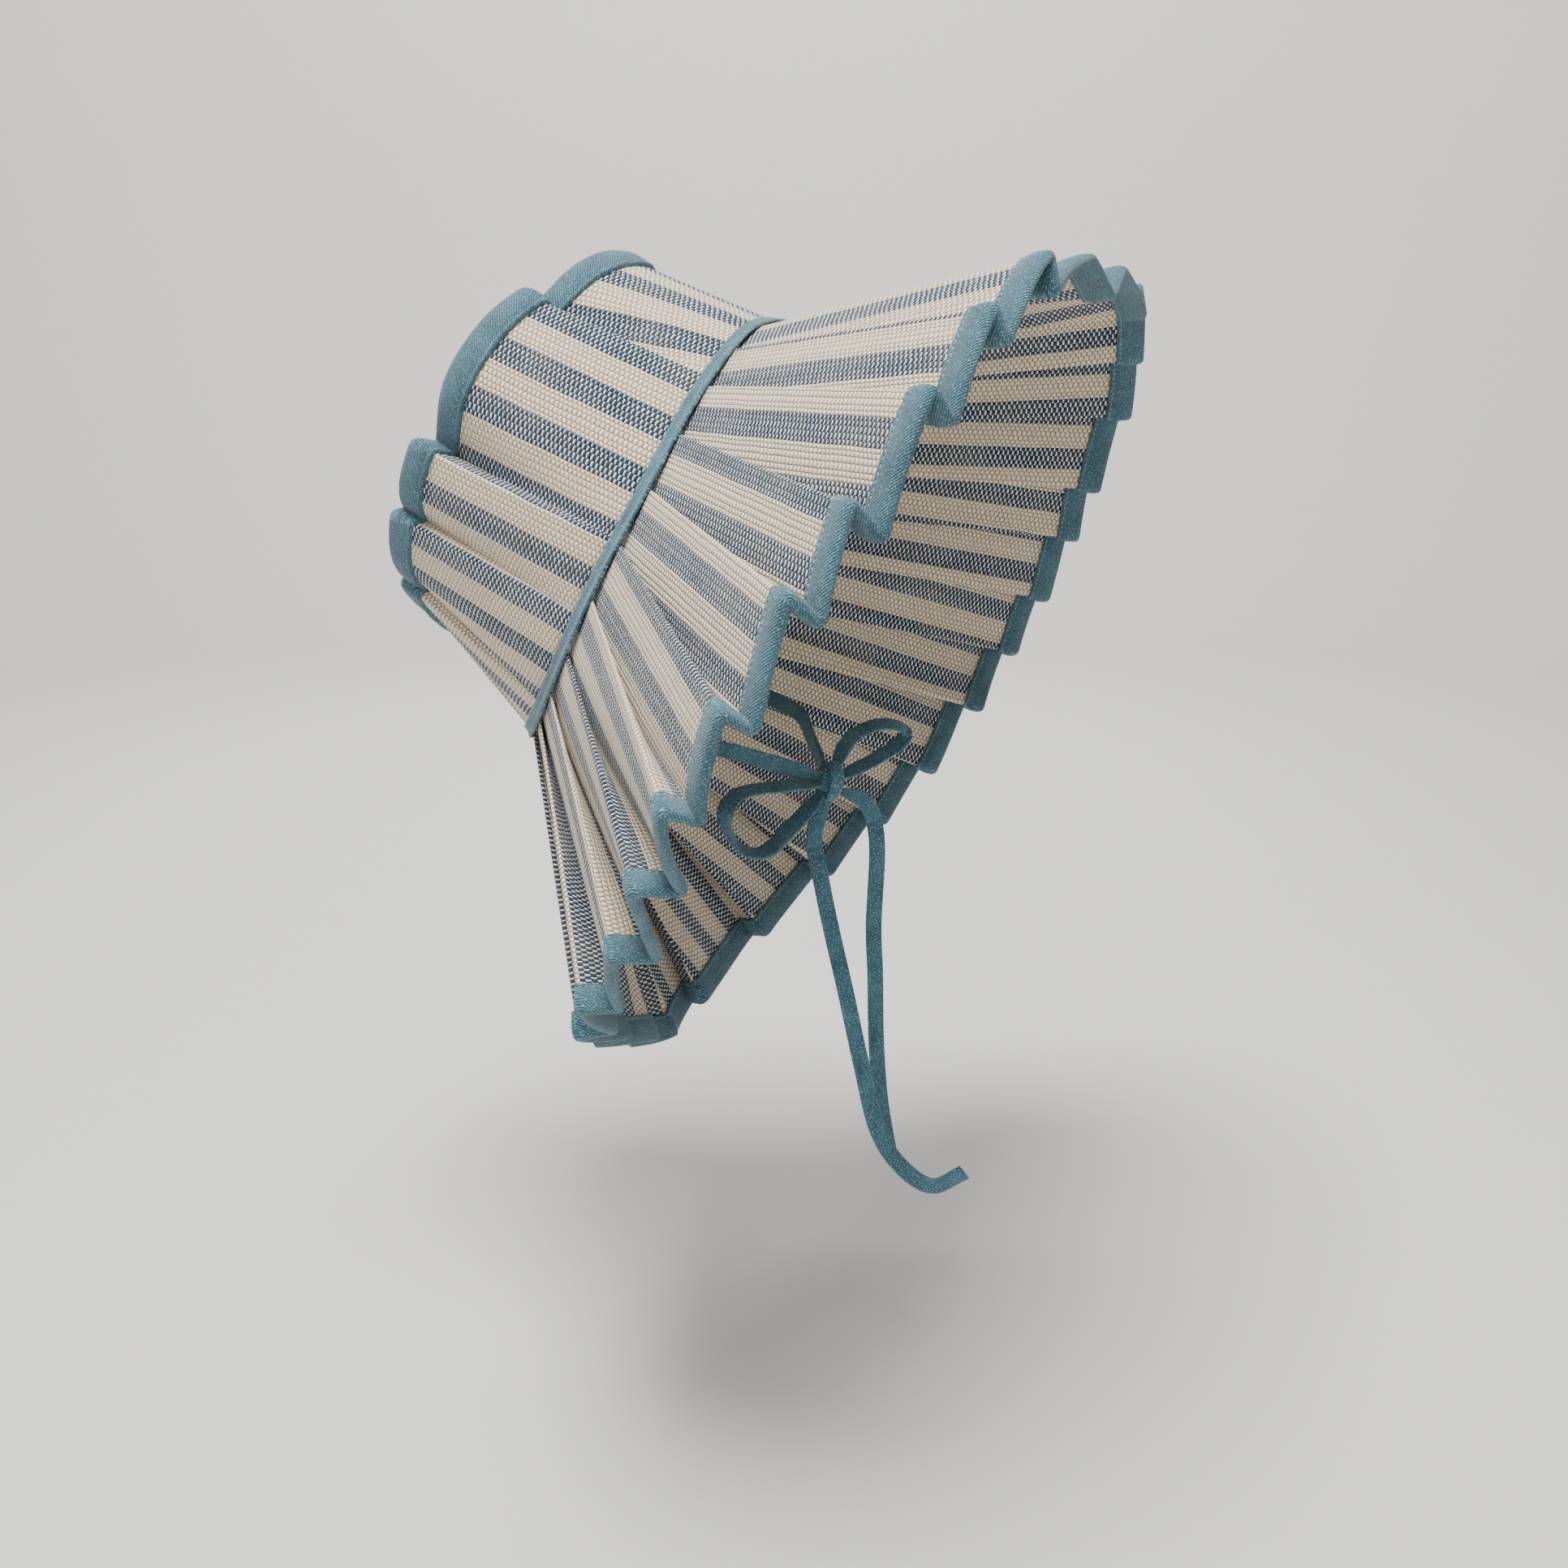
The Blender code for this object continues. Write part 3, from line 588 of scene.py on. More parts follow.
# cloth from the middle of the top to each ridge, in metres. It sets where the stripes fall
brim_places = dict(enumerate([0.0246, 0.0760, 0.1323, 0.1785, 0.2324, 0.2860, 0.3400, 0.3935, 0.4480,
                              0.5030, 0.5570, 0.6115, 0.6660, 0.7200]))
brim_folds = Folded(brim_side(), brim_places, 1)
BRIM_ROWS = 16
EDGE_INSIDE_TAPE, SEAM_START = 0.0006, 0.0003
BRIM_STRIPE_SHIFT, BRIM_FLAT = 2.0, (1.61, 0.142)


def lay_cloth(name, folds, rows, material, flat_size, held, rests_on):
    def place(i, j):
        run = folds.ends[i % folds.count] - folds.starts[i % folds.count]
        first, last = SEAM_START / run.length, 1 - EDGE_INSIDE_TAPE / run.length
        return folds.at(i, first + (last - first) * j / rows)

    def chart(column, i, j, point):
        return folds.cloth_place(column, point)
    piece = finished_piece(name, laid_sheet(name, folds.count, rows, place, chart), material,
                           "striped_cloth")
    wall = piece.modifiers.new("wall", "SOLIDIFY")
    wall.thickness = CLOTH_THICKNESS
    wall.offset = 0
    wall.use_quality_normals = False
    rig.sheet(piece, flat=flat_size, held=held, rests_on=rests_on)
    return piece


brim_cloth = cloth_material("brim_cloth", BRIM_STRIPE_SHIFT)
brim_piece = lay_cloth("pleated_brim", brim_folds, BRIM_ROWS, brim_cloth, BRIM_FLAT, "folded",
                       ["seam_band"])
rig.replaces(brim_piece, "brim")

# ---------------------------------------------------------------------------------------------
# Brim edge binding: cotton twill tape folded over the front edge, pressed puffy, and sewn
# through all layers with one row of lighter thread near its inner edge.
# ---------------------------------------------------------------------------------------------
Fall = namedtuple("Fall", "inward height")     # shares of the tape's width and of its puff
TAPE_SECTION = [
    Fall(1.00, 0.22), Fall(0.985, 0.62), Fall(0.90, 0.66), Fall(0.86, 0.56), Fall(0.82, 0.66),
    Fall(0.70, 0.84), Fall(0.45, 1.00), Fall(0.20, 0.98), Fall(0.04, 0.80), Fall(-0.06, 0.45),
]
BRIM_TAPE_WIDTH = 0.011
BRIM_TAPE_PUFF = 0.0019
STITCH_INWARD = 0.86
STITCH_LENGTH, STITCH_PITCH, STITCH_THREAD = 0.0016, 0.0024, 0.00042

twill, w, twill_in, twill_out = effect_group(
    "twill_tape", [("Tape", VECTOR), ("Rib", FLOAT)],
    [("Color", COLOUR), ("Height", FLOAT), ("Roughness", FLOAT)])
flat = w.node("ShaderNodeSeparateXYZ")
w.put(flat.inputs[0], twill_in.outputs["Tape"])
slant = w.sum("ADD", flat.outputs[0], flat.outputs[1])
slant = w.sum("MULTIPLY_ADD", w.noise(twill_in.outputs["Tape"], 400.0, 2.0), 0.0003, slant)
rib_wave = w.sum("SINE", w.sum("MULTIPLY", w.sum("DIVIDE", slant, twill_in.outputs["Rib"]), 2 * pi))
thread_wave = w.sum("SINE", w.sum("MULTIPLY", w.sum("SUBTRACT", flat.outputs[0], flat.outputs[1]),
                                  2 * pi / 0.0007))
rib_height = w.ease(rib_wave, -0.9, 0.9)
height = w.sum("MULTIPLY_ADD", thread_wave, 0.10, rib_height)
tone = w.noise(twill_in.outputs["Tape"], 90.0, 3.0)
speck = w.noise(twill_in.outputs["Tape"], 1500.0, 1.0)
tape_colour = w.blend(w.ease(tone, 0.3, 0.7), from_srgb(50, 98, 114), from_srgb(76, 126, 140))
# painted shade: the grooves between the twill ribs are darkened in the colour
tape_colour = w.blend(w.sum("MULTIPLY", w.ease(rib_wave, -1.0, 0.1, 1.0, 0.0), 0.80), tape_colour,
                      from_srgb(22, 60, 78))
tape_colour = w.blend(w.sum("MULTIPLY", w.ease(speck, 0.55, 0.68), 0.60), tape_colour,
                      from_srgb(168, 204, 212))
w.put(twill_out.inputs["Color"], tape_colour)
w.put(twill_out.inputs["Height"], height)
w.put(twill_out.inputs["Roughness"], w.sum("MULTIPLY_ADD", tone, 0.2, 0.66))


def tape_material(name, rib, relief):
    material, wires, shader = new_material(name, 0.75, 0.25)
    chart = wires.node("ShaderNodeUVMap", uv_map="flat_cloth")
    effect = wires.node("ShaderNodeGroup", node_tree=twill)
    wires.put(effect.inputs["Tape"], chart.outputs[0])
    effect.inputs["Rib"].default_value = rib
    bump = wires.node("ShaderNodeBump")
    bump.inputs["Distance"].default_value = relief
    wires.put(bump.inputs["Height"], effect.outputs["Height"])
    wires.put(shader.inputs["Base Color"], effect.outputs["Color"])
    wires.put(shader.inputs["Roughness"], effect.outputs["Roughness"])
    wires.put(shader.inputs["Normal"], bump.outputs[0])
    return material


def thread_material():
    material, wires, shader = new_material("sewing_thread", 0.6, 0.1)
    place = wires.node("ShaderNodeTexCoord")
    twist = wires.noise(place.outputs["Object"], 2200.0, 1.0)
    wires.put(shader.inputs["Base Color"], wires.blend(twist, from_srgb(128, 170, 182),
                                                       from_srgb(176, 206, 212)))
    return material


edge_twill = tape_material("binding_twill", 0.00120, 0.00040)
stitch_thread = thread_material()


def tape_height(step, puff):
    return CLOTH_THICKNESS / 2 + puff * step.height


def bind_edge(name, folds, width, puff, material, replaced):
    """Tape over the edge, its section carried along every fold."""
    section = [(s.inward * width, tape_height(s, puff)) for s in TAPE_SECTION]
    section = section + [(-0.09 * width, 0.0)] + [(d, -h) for d, h in section[::-1]]
    lengths = [0.0]
    for k in range(folds.count):
        lengths.append(lengths[-1] + (folds.from_edge(k + 1, 0) - folds.from_edge(k, 0)).length)
    frames = {}

    def place(i, j):
        d, h = section[j % len(section)]
        key = (i % folds.count, j % len(section))
        if key not in frames:
            lift = 1 + 0.10 * sin(lengths[key[0]] / 0.0071) * sin(lengths[key[0]] / 0.0173)
            frames[key] = folds.from_edge(key[0], d) + folds.normal(key[0], max(d, 0)) * h * lift
        return frames[key]

    def chart(column, i, j, point):
        return lengths[i], sum((Vector(section[k]) - Vector(section[k - 1])).length
                               for k in range(1, j + 1) if k < len(section))
    piece = finished_piece(name, laid_sheet(name, folds.count, len(section), place, chart), material,
                           "twill_tape")
    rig.replaces(piece, replaced)
    return piece


def stitch_shape():
    """One stitch: a short length of thread, rounded at its ends, along X."""
    bm = bmesh.new()
    bmesh.ops.create_uvsphere(bm, u_segments=6, v_segments=4, radius=0.5)
    bmesh.ops.scale(bm, verts=bm.verts, vec=(STITCH_LENGTH, STITCH_THREAD, STITCH_THREAD))
    bm.verts.index_update()
    corners = [v.co.copy() for v in bm.verts]
    faces = [[v.index for v in f.verts] for f in bm.faces]
    bm.free()
    return corners, faces


def sew_row(name, folds, width, puff, sides):
    """A row of stitches through the tape, each a copy of the one shape, joined in one mesh."""
    corners, faces = stitch_shape()
    all_corners, all_faces = [], []
    d = STITCH_INWARD * width
    rise = tape_height(TAPE_SECTION[3], puff) + 0.0001
    for side in sides:
        ups = [folds.normal(k, d) * side for k in range(folds.count)]
        points = [folds.from_edge(k, d) + ups[k] * rise for k in range(folds.count)]
        carried = 0.0
        for k, point in enumerate(points):
            following = points[(k + 1) % len(points)]
            span = (following - point).length
            run = (following - point).normalized()
            beside = ups[k].cross(run).normalized()
            turn = Matrix((run, beside, run.cross(beside))).transposed()
            while carried < span:
                spot = point.lerp(following, carried / span)
                first = len(all_corners)
                all_corners += [spot + turn @ corner for corner in corners]
                all_faces += [[first + index for index in face] for face in faces]
                carried += STITCH_PITCH
            carried -= span
    mesh = bpy.data.meshes.new(name)
    mesh.from_pydata(all_corners, [], all_faces)
    bm = bmesh.new()
    bm.from_mesh(mesh)
    bpy.data.meshes.remove(mesh)
    return finished_piece(name, bm, stitch_thread, "twill_tape")


bind_edge("brim_binding", brim_folds, BRIM_TAPE_WIDTH, BRIM_TAPE_PUFF, edge_twill, "brim_edge_binding")
sew_row("brim_stitches", brim_folds, BRIM_TAPE_WIDTH, BRIM_TAPE_PUFF, (1, -1))

# ---------------------------------------------------------------------------------------------
# Crown: the same cloth with its stripes running back from the seam. Five folds on each side are
# flat at the seam and deep at the rear, where they draw the cloth in to the back of the head.
# ---------------------------------------------------------------------------------------------
CROWN_HALF_WIDTH, CROWN_HALF_HEIGHT, CROWN_DEPTH = 0.064, 0.085, 0.082
CROWN_FOLD_DEPTH = 0.013
CROWN_RING = [
    Ring(0, 0.00, 1.00, 0.90, 0.6), Ring(15, 0.20, 0.97, 0.92, 0.8), Ring(30, 0.45, 0.86, 0.96, 1.0),
    Ring(45, 0.75, 0.61, 1.02, 1.0), Ring(60, 0.91, 0.38, 1.03, 1.0), Ring(75, 1.00, 0.14, 1.01, 1.0),
    Ring(90, 0.97, -0.17, 1.00, 1.0), Ring(105, 0.88, -0.49, 0.97, 1.0), Ring(120, 0.71, -0.73, 0.94, 1.0),
    Ring(135, 0.52, -0.88, 0.89, 0.9), Ring(150, 0.30, -0.98, 0.86, 0.8), Ring(180, 0.00, -1.06, 0.84, 0.6),
]
Fold = namedtuple("Fold", "start end deep")
CROWN_FOLDS = [Fold(0, 0, 0.0), Fold(38, 39, 1.0), Fold(81, 87, 1.2), Fold(99, 105, 0.7), Fold(128, 133, 0.5),
               Fold(156, 156, 0.7), Fold(180, 180, 0.3)]
CrownStep = namedtuple("CrownStep", "at_seam at_rear sink")
CROWN_PANEL = [
    CrownStep(0.00, 0.00, 0.00), CrownStep(0.03, 0.05, 0.00), CrownStep(0.14, 0.15, 0.01),
    CrownStep(0.27, 0.27, 0.02), CrownStep(0.42, 0.43, 0.06), CrownStep(0.57, 0.59, 0.14),
    CrownStep(0.72, 0.75, 0.32), CrownStep(0.85, 0.90, 0.68), CrownStep(0.93, 1.01, 0.93),
    CrownStep(0.955, 1.04, 1.00),
]
CROWN_LAP = [CrownStep(0.965, 1.035, 0.90), CrownStep(0.98, 1.02, 0.50), CrownStep(0.992, 1.004, 0.12)]


def crown_point(turn):
    return ring_point(CROWN_RING, turn, CROWN_HALF_WIDTH, CROWN_HALF_HEIGHT, -CROWN_DEPTH)


def crown_side():
    lines = []
    for k, (fold, following) in enumerate(zip(CROWN_FOLDS, CROWN_FOLDS[1:])):
        last = following is CROWN_FOLDS[-1]
        for step in CROWN_PANEL + ([] if last else CROWN_LAP):
            if last and step.at_rear > 0.95:
                continue
            turn = min(fold.end + step.at_rear * (following.end - fold.end), 180)
            depth = read_ring(CROWN_RING, turn, "deep") * CROWN_FOLD_DEPTH * step.sink * following.deep
            end = crown_point(turn) - edge_outward(crown_point, turn) * depth
            lap = step in CROWN_LAP
            lines.append(Line(seam_point(fold.start + step.at_seam * (following.start - fold.start)), end,
                              k + 1 if lap else k, -1 if lap else 1))
    end = crown_point(180) - edge_outward(crown_point, 180) * CROWN_FOLD_DEPTH * 0.3 * 0.6
    lines.append(Line(seam_point(180), end, len(CROWN_FOLDS) - 2, 1))
    return lines


crown_places = {}
place_so_far = 0.0
for k, (fold, following) in enumerate(zip(CROWN_FOLDS, CROWN_FOLDS[1:])):
    crown_places[k] = place_so_far
    for step in range(8):
        a, b = (fold.start + (following.start - fold.start) * (step + j) / 8 for j in (0, 1))
        place_so_far += (seam_point(b) - seam_point(a)).length
crown_folds = Folded(crown_side(), crown_places, -1)
CROWN_ROWS, CROWN_STRIPE_SHIFT, CROWN_FLAT = 14, 5.0, (0.59, 0.093)
crown_cloth = cloth_material("crown_cloth", CROWN_STRIPE_SHIFT)
crown_piece = lay_cloth("gathered_crown", crown_folds, CROWN_ROWS, crown_cloth, CROWN_FLAT, "gathered",
                        ["seam_band"])
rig.replaces(crown_piece, "crown")

# ---------------------------------------------------------------------------------------------
# Crown edge binding: the same twill tape, wider and looser, folded over the rear edge and
# tucked down into each fold.
# ---------------------------------------------------------------------------------------------
CROWN_TAPE_WIDTH, CROWN_TAPE_PUFF = 0.0125, 0.0028
bind_edge("crown_binding", crown_folds, CROWN_TAPE_WIDTH, CROWN_TAPE_PUFF, edge_twill, "crown_edge_binding")

# ---------------------------------------------------------------------------------------------
# Seam band: narrow flat twill tape sewn over the outside of the seam between crown and brim.
# ---------------------------------------------------------------------------------------------
BAND_WIDTH, BAND_COUNT = 0.0072, 216
BAND_LENGTH = 0.57
BandStep = namedtuple("BandStep", "beside height")
BAND_SECTION = [
    BandStep(-1.0, 0.60), BandStep(-1.0, 1.55), BandStep(-0.9, 1.85), BandStep(-0.45, 1.95),
    BandStep(0.0, 2.05), BandStep(0.45, 1.95), BandStep(0.9, 1.85), BandStep(1.0, 1.55),
    BandStep(1.0, 0.60), BandStep(0.0, 0.60),
]


def band_place(i, j):
    turn = 360 * (i % BAND_COUNT) / BAND_COUNT
    left = turn <= 180
    at = turn if left else 360 - turn
    point = seam_point(at)
    along = seam_point(min(at + 2, 180)) - seam_point(max(at - 2, 0))
    step = BAND_SECTION[j % len(BAND_SECTION)]
    runs = [(brim_point(at) - point).normalized(), (crown_point(at) - point).normalized()]
    outs = []
    for run in runs:
        out = along.cross(run).normalized()
        outs.append(out if out.dot(point - CENTRE) > 0 else -out)
    middle = (outs[0] + outs[1]).normalized()
    which = 0 if step.beside < 0 else 1
    out = outs[which].lerp(middle, 1 - abs(step.beside)).normalized()
    spot = (point + runs[which] * abs(step.beside) * BAND_WIDTH / 2 + out * step.height / 1000)
    return spot if left else spot * MIRROR


def band_chart(column, i, j, point):
    return i * BAND_LENGTH / BAND_COUNT, BAND_SECTION[j % len(BAND_SECTION)].beside * BAND_WIDTH / 2


seam_twill = tape_material("seam_twill", 0.00062, 0.00010)
seam_band = finished_piece("seam_band", laid_sheet("seam_band", BAND_COUNT, len(BAND_SECTION),
                                                   band_place, band_chart), seam_twill, "twill_tape")
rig.replaces(seam_band, "band")

# ---------------------------------------------------------------------------------------------
# Ties: 7 mm tapes folded lengthwise and sewn shut, from the seam behind each ear to the bow.
# ---------------------------------------------------------------------------------------------
TIE_WIDTH, TIE_THICKNESS = 0.0070, 0.0014
KNOT = Vector((0.000, -0.024, -0.181))
KNOT_SIZE = (0.012, 0.010, 0.014)
KNOT_TURN = radians(-35)
CLEARANCE = 0.0003
Route = namedtuple("Route", "leave points enter")
TIE_ROUTE = Route(
    None,
    [(-0.060, 0.052, -0.152), (-0.052, 0.026, -0.158), (-0.040, 0.006, -0.162),
     (-0.024, -0.006, -0.169)],
    (-0.70, 0.55, 0.45))
TieStep = namedtuple("TieStep", "across flat")       # shares of half the width and half the thickness
TIE_SECTION = [
    TieStep(-1.0, 0.0), TieStep(-0.96, 0.62), TieStep(-0.80, 0.92), TieStep(-0.62, 0.74),
    TieStep(-0.48, 0.98), TieStep(0.0, 1.10), TieStep(0.60, 1.15), TieStep(0.90, 0.95),
    TieStep(1.0, 0.0),
]
tie_twill = tape_material("tie_twill", 0.00058, 0.00008)


def smooth_path(points, steps):
    ends = [points[0] * 2 - points[1]] + list(points) + [points[-1] * 2 - points[-2]]
    path = []
    for k in range(1, len(ends) - 2):
        a, b, c, d = ends[k - 1:k + 3]
        for j in range(steps):
            t = j / steps
            path.append(0.5 * (2 * b + (c - a) * t + (2 * a - 5 * b + 4 * c - d) * t * t
                               + (3 * b - a - 3 * c + d) * t**3))
    path.append(points[-1])
    return path


def knot_side(direction, inside=0.0):
    d = Vector(direction).normalized()
    local = Matrix.Rotation(-KNOT_TURN, 3, "Z") @ d
    radius = sum((x / (size / 2)) ** 2 for x, size in zip(local, KNOT_SIZE)) ** -0.5
    return KNOT + d * (radius + CLEARANCE - inside)


def tie_seat():
    """Where a tie is sewn to the inside of the brim, just in front of the band."""
    turn, inset = 124, 0.004
    point = seam_point(turn)
    run = (brim_point(turn) - point).normalized()
    along = seam_point(turn + 2) - seam_point(turn - 2)
    inward = along.cross(run).normalized()
    if inward.dot(point - CENTRE) > 0:
        inward.negate()
    depth = PLEAT_DEPTH * inset / (brim_point(turn) - point).length
    return point + run * inset + inward * (0.00075 + CLEARANCE + TIE_THICKNESS / 2 + depth)


def flat_tie(name, route, first, last, facing, replaced, mirror=False):
    flip = MIRROR if mirror else Vector((1, 1, 1))
    points = ([first] if first is not None else []) + [Vector(p) for p in route.points]
    points += [last] if last is not None else []
    path = [p * flip for p in smooth_path(points, 8)]
    count = len(path) - 1
    section = TIE_SECTION + [TieStep(s.across, -s.flat) for s in TIE_SECTION[-2:0:-1]]
    lengths = [0.0]
    for a, b in zip(path, path[1:]):
        lengths.append(lengths[-1] + (b - a).length)
    total = lengths[-1]

    def pinch(k):
        """The tie is drawn together where it goes into the knot."""
        width = 1.0
        if route.leave is not None:
            width = min(width, 0.42 + 0.58 * min(1, lengths[k] / 0.010) ** 0.8)
        if route.enter is not None:
            width = min(width, 0.42 + 0.58 * min(1, (total - lengths[k]) / 0.010) ** 0.8)
        return width

    def place(i, j):
        step = section[j % len(section)]
        run = (path[min(i + 1, count)] - path[max(i - 1, 0)]).normalized()
        look = Vector(facing[0]).lerp(Vector(facing[1]), lengths[i] / total) * flip
        beside = run.cross(look).normalized()
        flat = beside.cross(run).normalized()
        width = pinch(i)
        thick = 1 + (1 - width) * 0.9
        return (path[i] + beside * step.across * TIE_WIDTH / 2 * width
                + flat * step.flat * TIE_THICKNESS / 2 * thick)

    def chart(column, i, j, point):
        return lengths[i], section[j % len(section)].across * TIE_WIDTH / 2
    bm = laid_sheet(name, count, len(section), place, chart)
    bmesh.ops.holes_fill(bm, edges=[e for e in bm.edges if e.is_boundary])
    bmesh.ops.recalc_face_normals(bm, faces=bm.faces)
    piece = finished_piece(name, bm, tie_twill, "twill_tape")
    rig.replaces(piece, replaced)
    return piece, path, total


near_side = (-0.85, -0.50, 0.10)
for side, mirror in (("left", False), ("right", True)):
    flat_tie(f"chin_tie_{side}", TIE_ROUTE, tie_seat(), knot_side(TIE_ROUTE.enter, 0.0012),
             ((-0.75, 0.20, -0.60), near_side), f"tie_{side}", mirror=mirror)

# ---------------------------------------------------------------------------------------------
# Bow: the two tapes tied in a bow under the chin, with one large loop, one small one and two
# free ends, the longer of which curls forward.
# ---------------------------------------------------------------------------------------------
LOOP_LEFT = Route(
    (-0.88, 0.40, -0.05),
    [(-0.024, -0.012, -0.179), (-0.043, -0.002, -0.179), (-0.051, 0.000, -0.187),
     (-0.047, -0.004, -0.199), (-0.038, -0.011, -0.203), (-0.021, -0.016, -0.196)],
    (-0.66, 0.20, -0.65))
LOOP_RIGHT = Route(
    (0.60, -0.10, 0.80),
    [(0.015, -0.027, -0.166), (0.026, -0.035, -0.161), (0.035, -0.043, -0.163),
     (0.037, -0.043, -0.169), (0.026, -0.036, -0.175)],
    (0.93, -0.35, 0.10))
END_LEFT = Route(
    (-0.30, 0.00, -0.95),
    [(-0.007, -0.020, -0.203), (-0.008, -0.024, -0.223), (-0.008, -0.029, -0.245),
     (-0.009, -0.035, -0.267), (-0.010, -0.043, -0.299), (-0.012, -0.051, -0.326),
     (-0.014, -0.062, -0.340), (-0.016, -0.077, -0.346), (-0.016, -0.091, -0.337)],
    None)
END_RIGHT = Route(
    (0.45, -0.62, -0.64),
    [(0.010, -0.037, -0.192), (0.012, -0.041, -0.209), (0.012, -0.040, -0.245),
     (0.012, -0.041, -0.267), (0.012, -0.042, -0.299), (0.013, -0.044, -0.326),
     (0.014, -0.048, -0.350)],
    None)
flat_tie("large_loop", LOOP_LEFT, knot_side(LOOP_LEFT.leave, 0.0015), knot_side(LOOP_LEFT.enter, 0.0015),
         ((-0.2, -0.4, 0.9), (-0.2, -0.4, 0.9)), "bow_loop_left")
flat_tie("small_loop", LOOP_RIGHT, knot_side(LOOP_RIGHT.leave, 0.0015), knot_side(LOOP_RIGHT.enter, 0.0015),
         ((-0.5, -0.2, 0.8), (-0.5, -0.2, 0.8)), "bow_loop_right")
for name, route, replaced in (("long_end", END_LEFT, "bow_end_left"),
                              ("short_end", END_RIGHT, "bow_end_right")):
    end_piece, path, total = flat_tie(name, route, knot_side(route.leave), None,
                                      (near_side, near_side), replaced)
    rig.cord(end_piece, exit=path[0], length=total, diameter=TIE_WIDTH, far_end="bare", stiffness="limp",
            lay="hanging", path=path)


def knot_piece():
    """The knot: a tight wrap of tape over the puffed layers inside it."""
    bm = bmesh.new()
    bmesh.ops.create_uvsphere(bm, u_segments=32, v_segments=20, radius=0.5)
    for v in bm.verts:
        x, y, z = v.co
        wrap = 1 - 0.10 * cos(pi * min(1, abs(x) / 0.20)) * (1 if abs(x) < 0.20 else 0)
        crease = 1 - 0.07 * abs(sin(3 * pi * x)) * (1 if abs(x) > 0.22 else 0)
        v.co = Vector((x * KNOT_SIZE[0], y * KNOT_SIZE[1] * crease, z * KNOT_SIZE[2] * crease))
    layer = bm.loops.layers.uv.new("flat_cloth")
    for face in bm.faces:
        for loop in face.loops:
            loop[layer].uv = (loop.vert.co.x, loop.vert.co.z)
    bmesh.ops.transform(bm, verts=bm.verts,
                        matrix=Matrix.Translation(KNOT) @ Matrix.Rotation(KNOT_TURN, 4, "Z"))
    piece = finished_piece("bow_core", bm, tie_twill, "twill_tape")
    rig.replaces(piece, "bow_knot")
    return piece


knot_piece()
WRAP_HALF_DEPTH, WRAP_HALF_HEIGHT, WRAP_WIDTH = 0.0054, 0.0074, 0.0064
WRAP_SECTION = [(-1.0, 0.0), (-0.92, 0.55), (-0.6, 0.85), (0.0, 1.0), (0.6, 0.85), (0.92, 0.55), (1.0, 0.0),
                (0.5, -0.4), (-0.5, -0.4)]
WRAP_COUNT = 40


def wrap_place(i, j):
    turn = 2 * pi * (i % WRAP_COUNT) / WRAP_COUNT
    beside, height = WRAP_SECTION[j % len(WRAP_SECTION)]
    pull = 1 + 0.10 * cos(2 * turn)
    out = Vector((0, cos(turn) / WRAP_HALF_DEPTH, sin(turn) / WRAP_HALF_HEIGHT)).normalized()
    spot = Vector((beside * WRAP_WIDTH / 2 * pull + 0.0012 * sin(turn), cos(turn) * WRAP_HALF_DEPTH,
                   sin(turn) * WRAP_HALF_HEIGHT)) + out * height * 0.0011
    return KNOT + Matrix.Rotation(KNOT_TURN, 3, "Z") @ spot


def wrap_chart(column, i, j, point):
    return i * 0.001, j * 0.001


finished_piece("bow_wrap", laid_sheet("bow_wrap", WRAP_COUNT, len(WRAP_SECTION), wrap_place, wrap_chart),
               tie_twill, "twill_tape")

# ---------------------------------------------------------------------------------------------
# Studio: a plain pale floor that curves up all round, and soft light from above.
# ---------------------------------------------------------------------------------------------
FLOOR_HEIGHT, FLOOR_REACH, SWEEP_RADIUS, WALL_HEIGHT = -0.43, 2.1, 0.9, 3.0
SWEEP_AROUND, SWEEP_UP = 64, 20


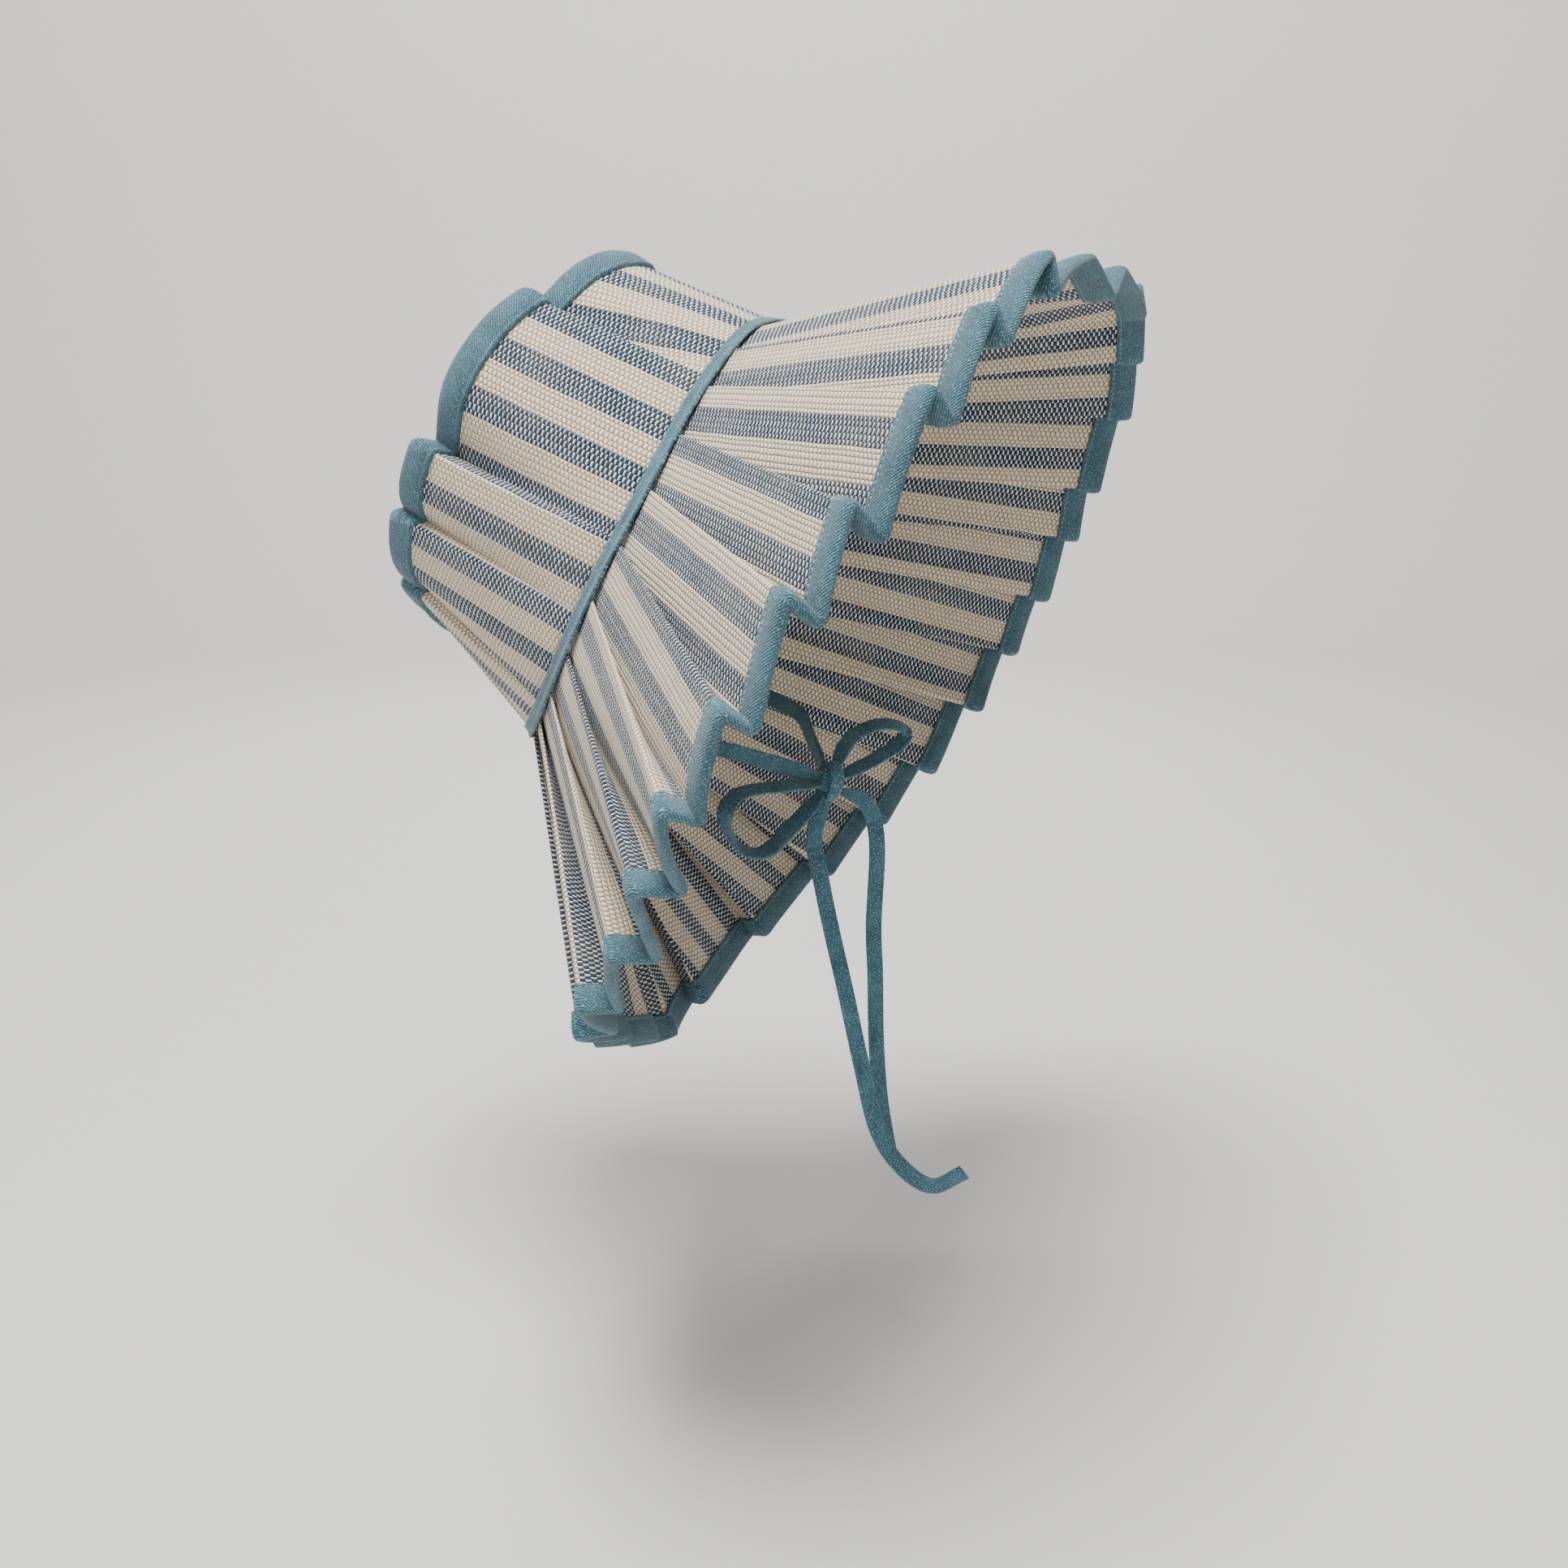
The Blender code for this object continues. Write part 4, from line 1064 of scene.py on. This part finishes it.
def studio_place(i, j):
    turn = 2 * pi * (i % SWEEP_AROUND) / SWEEP_AROUND
    bend = pi / 2 * min(max(j - 1, 0) / (SWEEP_UP - 2), 1)
    reach = 0 if j == 0 else FLOOR_REACH + SWEEP_RADIUS * sin(bend)
    height = WALL_HEIGHT if j == SWEEP_UP else SWEEP_RADIUS * (1 - cos(bend))
    return Vector((cos(turn) * reach, sin(turn) * reach, FLOOR_HEIGHT + height))


def studio_chart(column, i, j, point):
    return point.x, point.y


bm = laid_sheet("floor", SWEEP_AROUND, SWEEP_UP, studio_place, studio_chart)
floor_mesh = bpy.data.meshes.new("floor")
bm.to_mesh(floor_mesh)
bm.free()
floor_mesh.polygons.foreach_set("use_smooth", [True] * len(floor_mesh.polygons))
studio_floor = bpy.data.objects.new("floor", floor_mesh)
bpy.context.collection.objects.link(studio_floor)
floor_paint, wires, shader = new_material("pale_floor", 0.9)
shader.inputs["Base Color"].default_value = (0.74, 0.73, 0.71, 1)
floor_mesh.materials.append(floor_paint)
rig.stage(studio_floor)


def soft_light(name, place, aim, size, power):
    light = bpy.data.lights.new(name, "AREA")
    light.size = size
    light.energy = power
    lamp = bpy.data.objects.new(name, light)
    lamp.location = place
    lamp.rotation_euler = (Vector(aim) - Vector(place)).to_track_quat("-Z", "Y").to_euler()
    bpy.context.collection.objects.link(lamp)


BONNET_MIDDLE = (0, 0, -0.15)
soft_light("overhead", (-0.42, -0.05, 1.3), BONNET_MIDDLE, 0.7, 46)
soft_light("from_camera_side", (-1.6, -0.2, 0.5), BONNET_MIDDLE, 0.9, 9)
soft_light("from_behind", (0.9, 1.2, 0.8), BONNET_MIDDLE, 1.0, 3)
soft_light("on_the_sweep", (0.9, 0.4, 1.7), (2.7, 1.15, 0.5), 1.2, 60)
world = bpy.data.worlds.new("studio")
bpy.context.scene.world = world
world.use_nodes = True
world.node_tree.nodes["Background"].inputs["Color"].default_value = (0.90, 0.90, 0.89, 1)
world.node_tree.nodes["Background"].inputs["Strength"].default_value = 0.12

with open("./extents.json", "w") as sizes:
    json.dump({"solids": [list(corner) for corner in solids_box],
               "dressed": [list(corner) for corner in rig.bounds()]}, sizes)
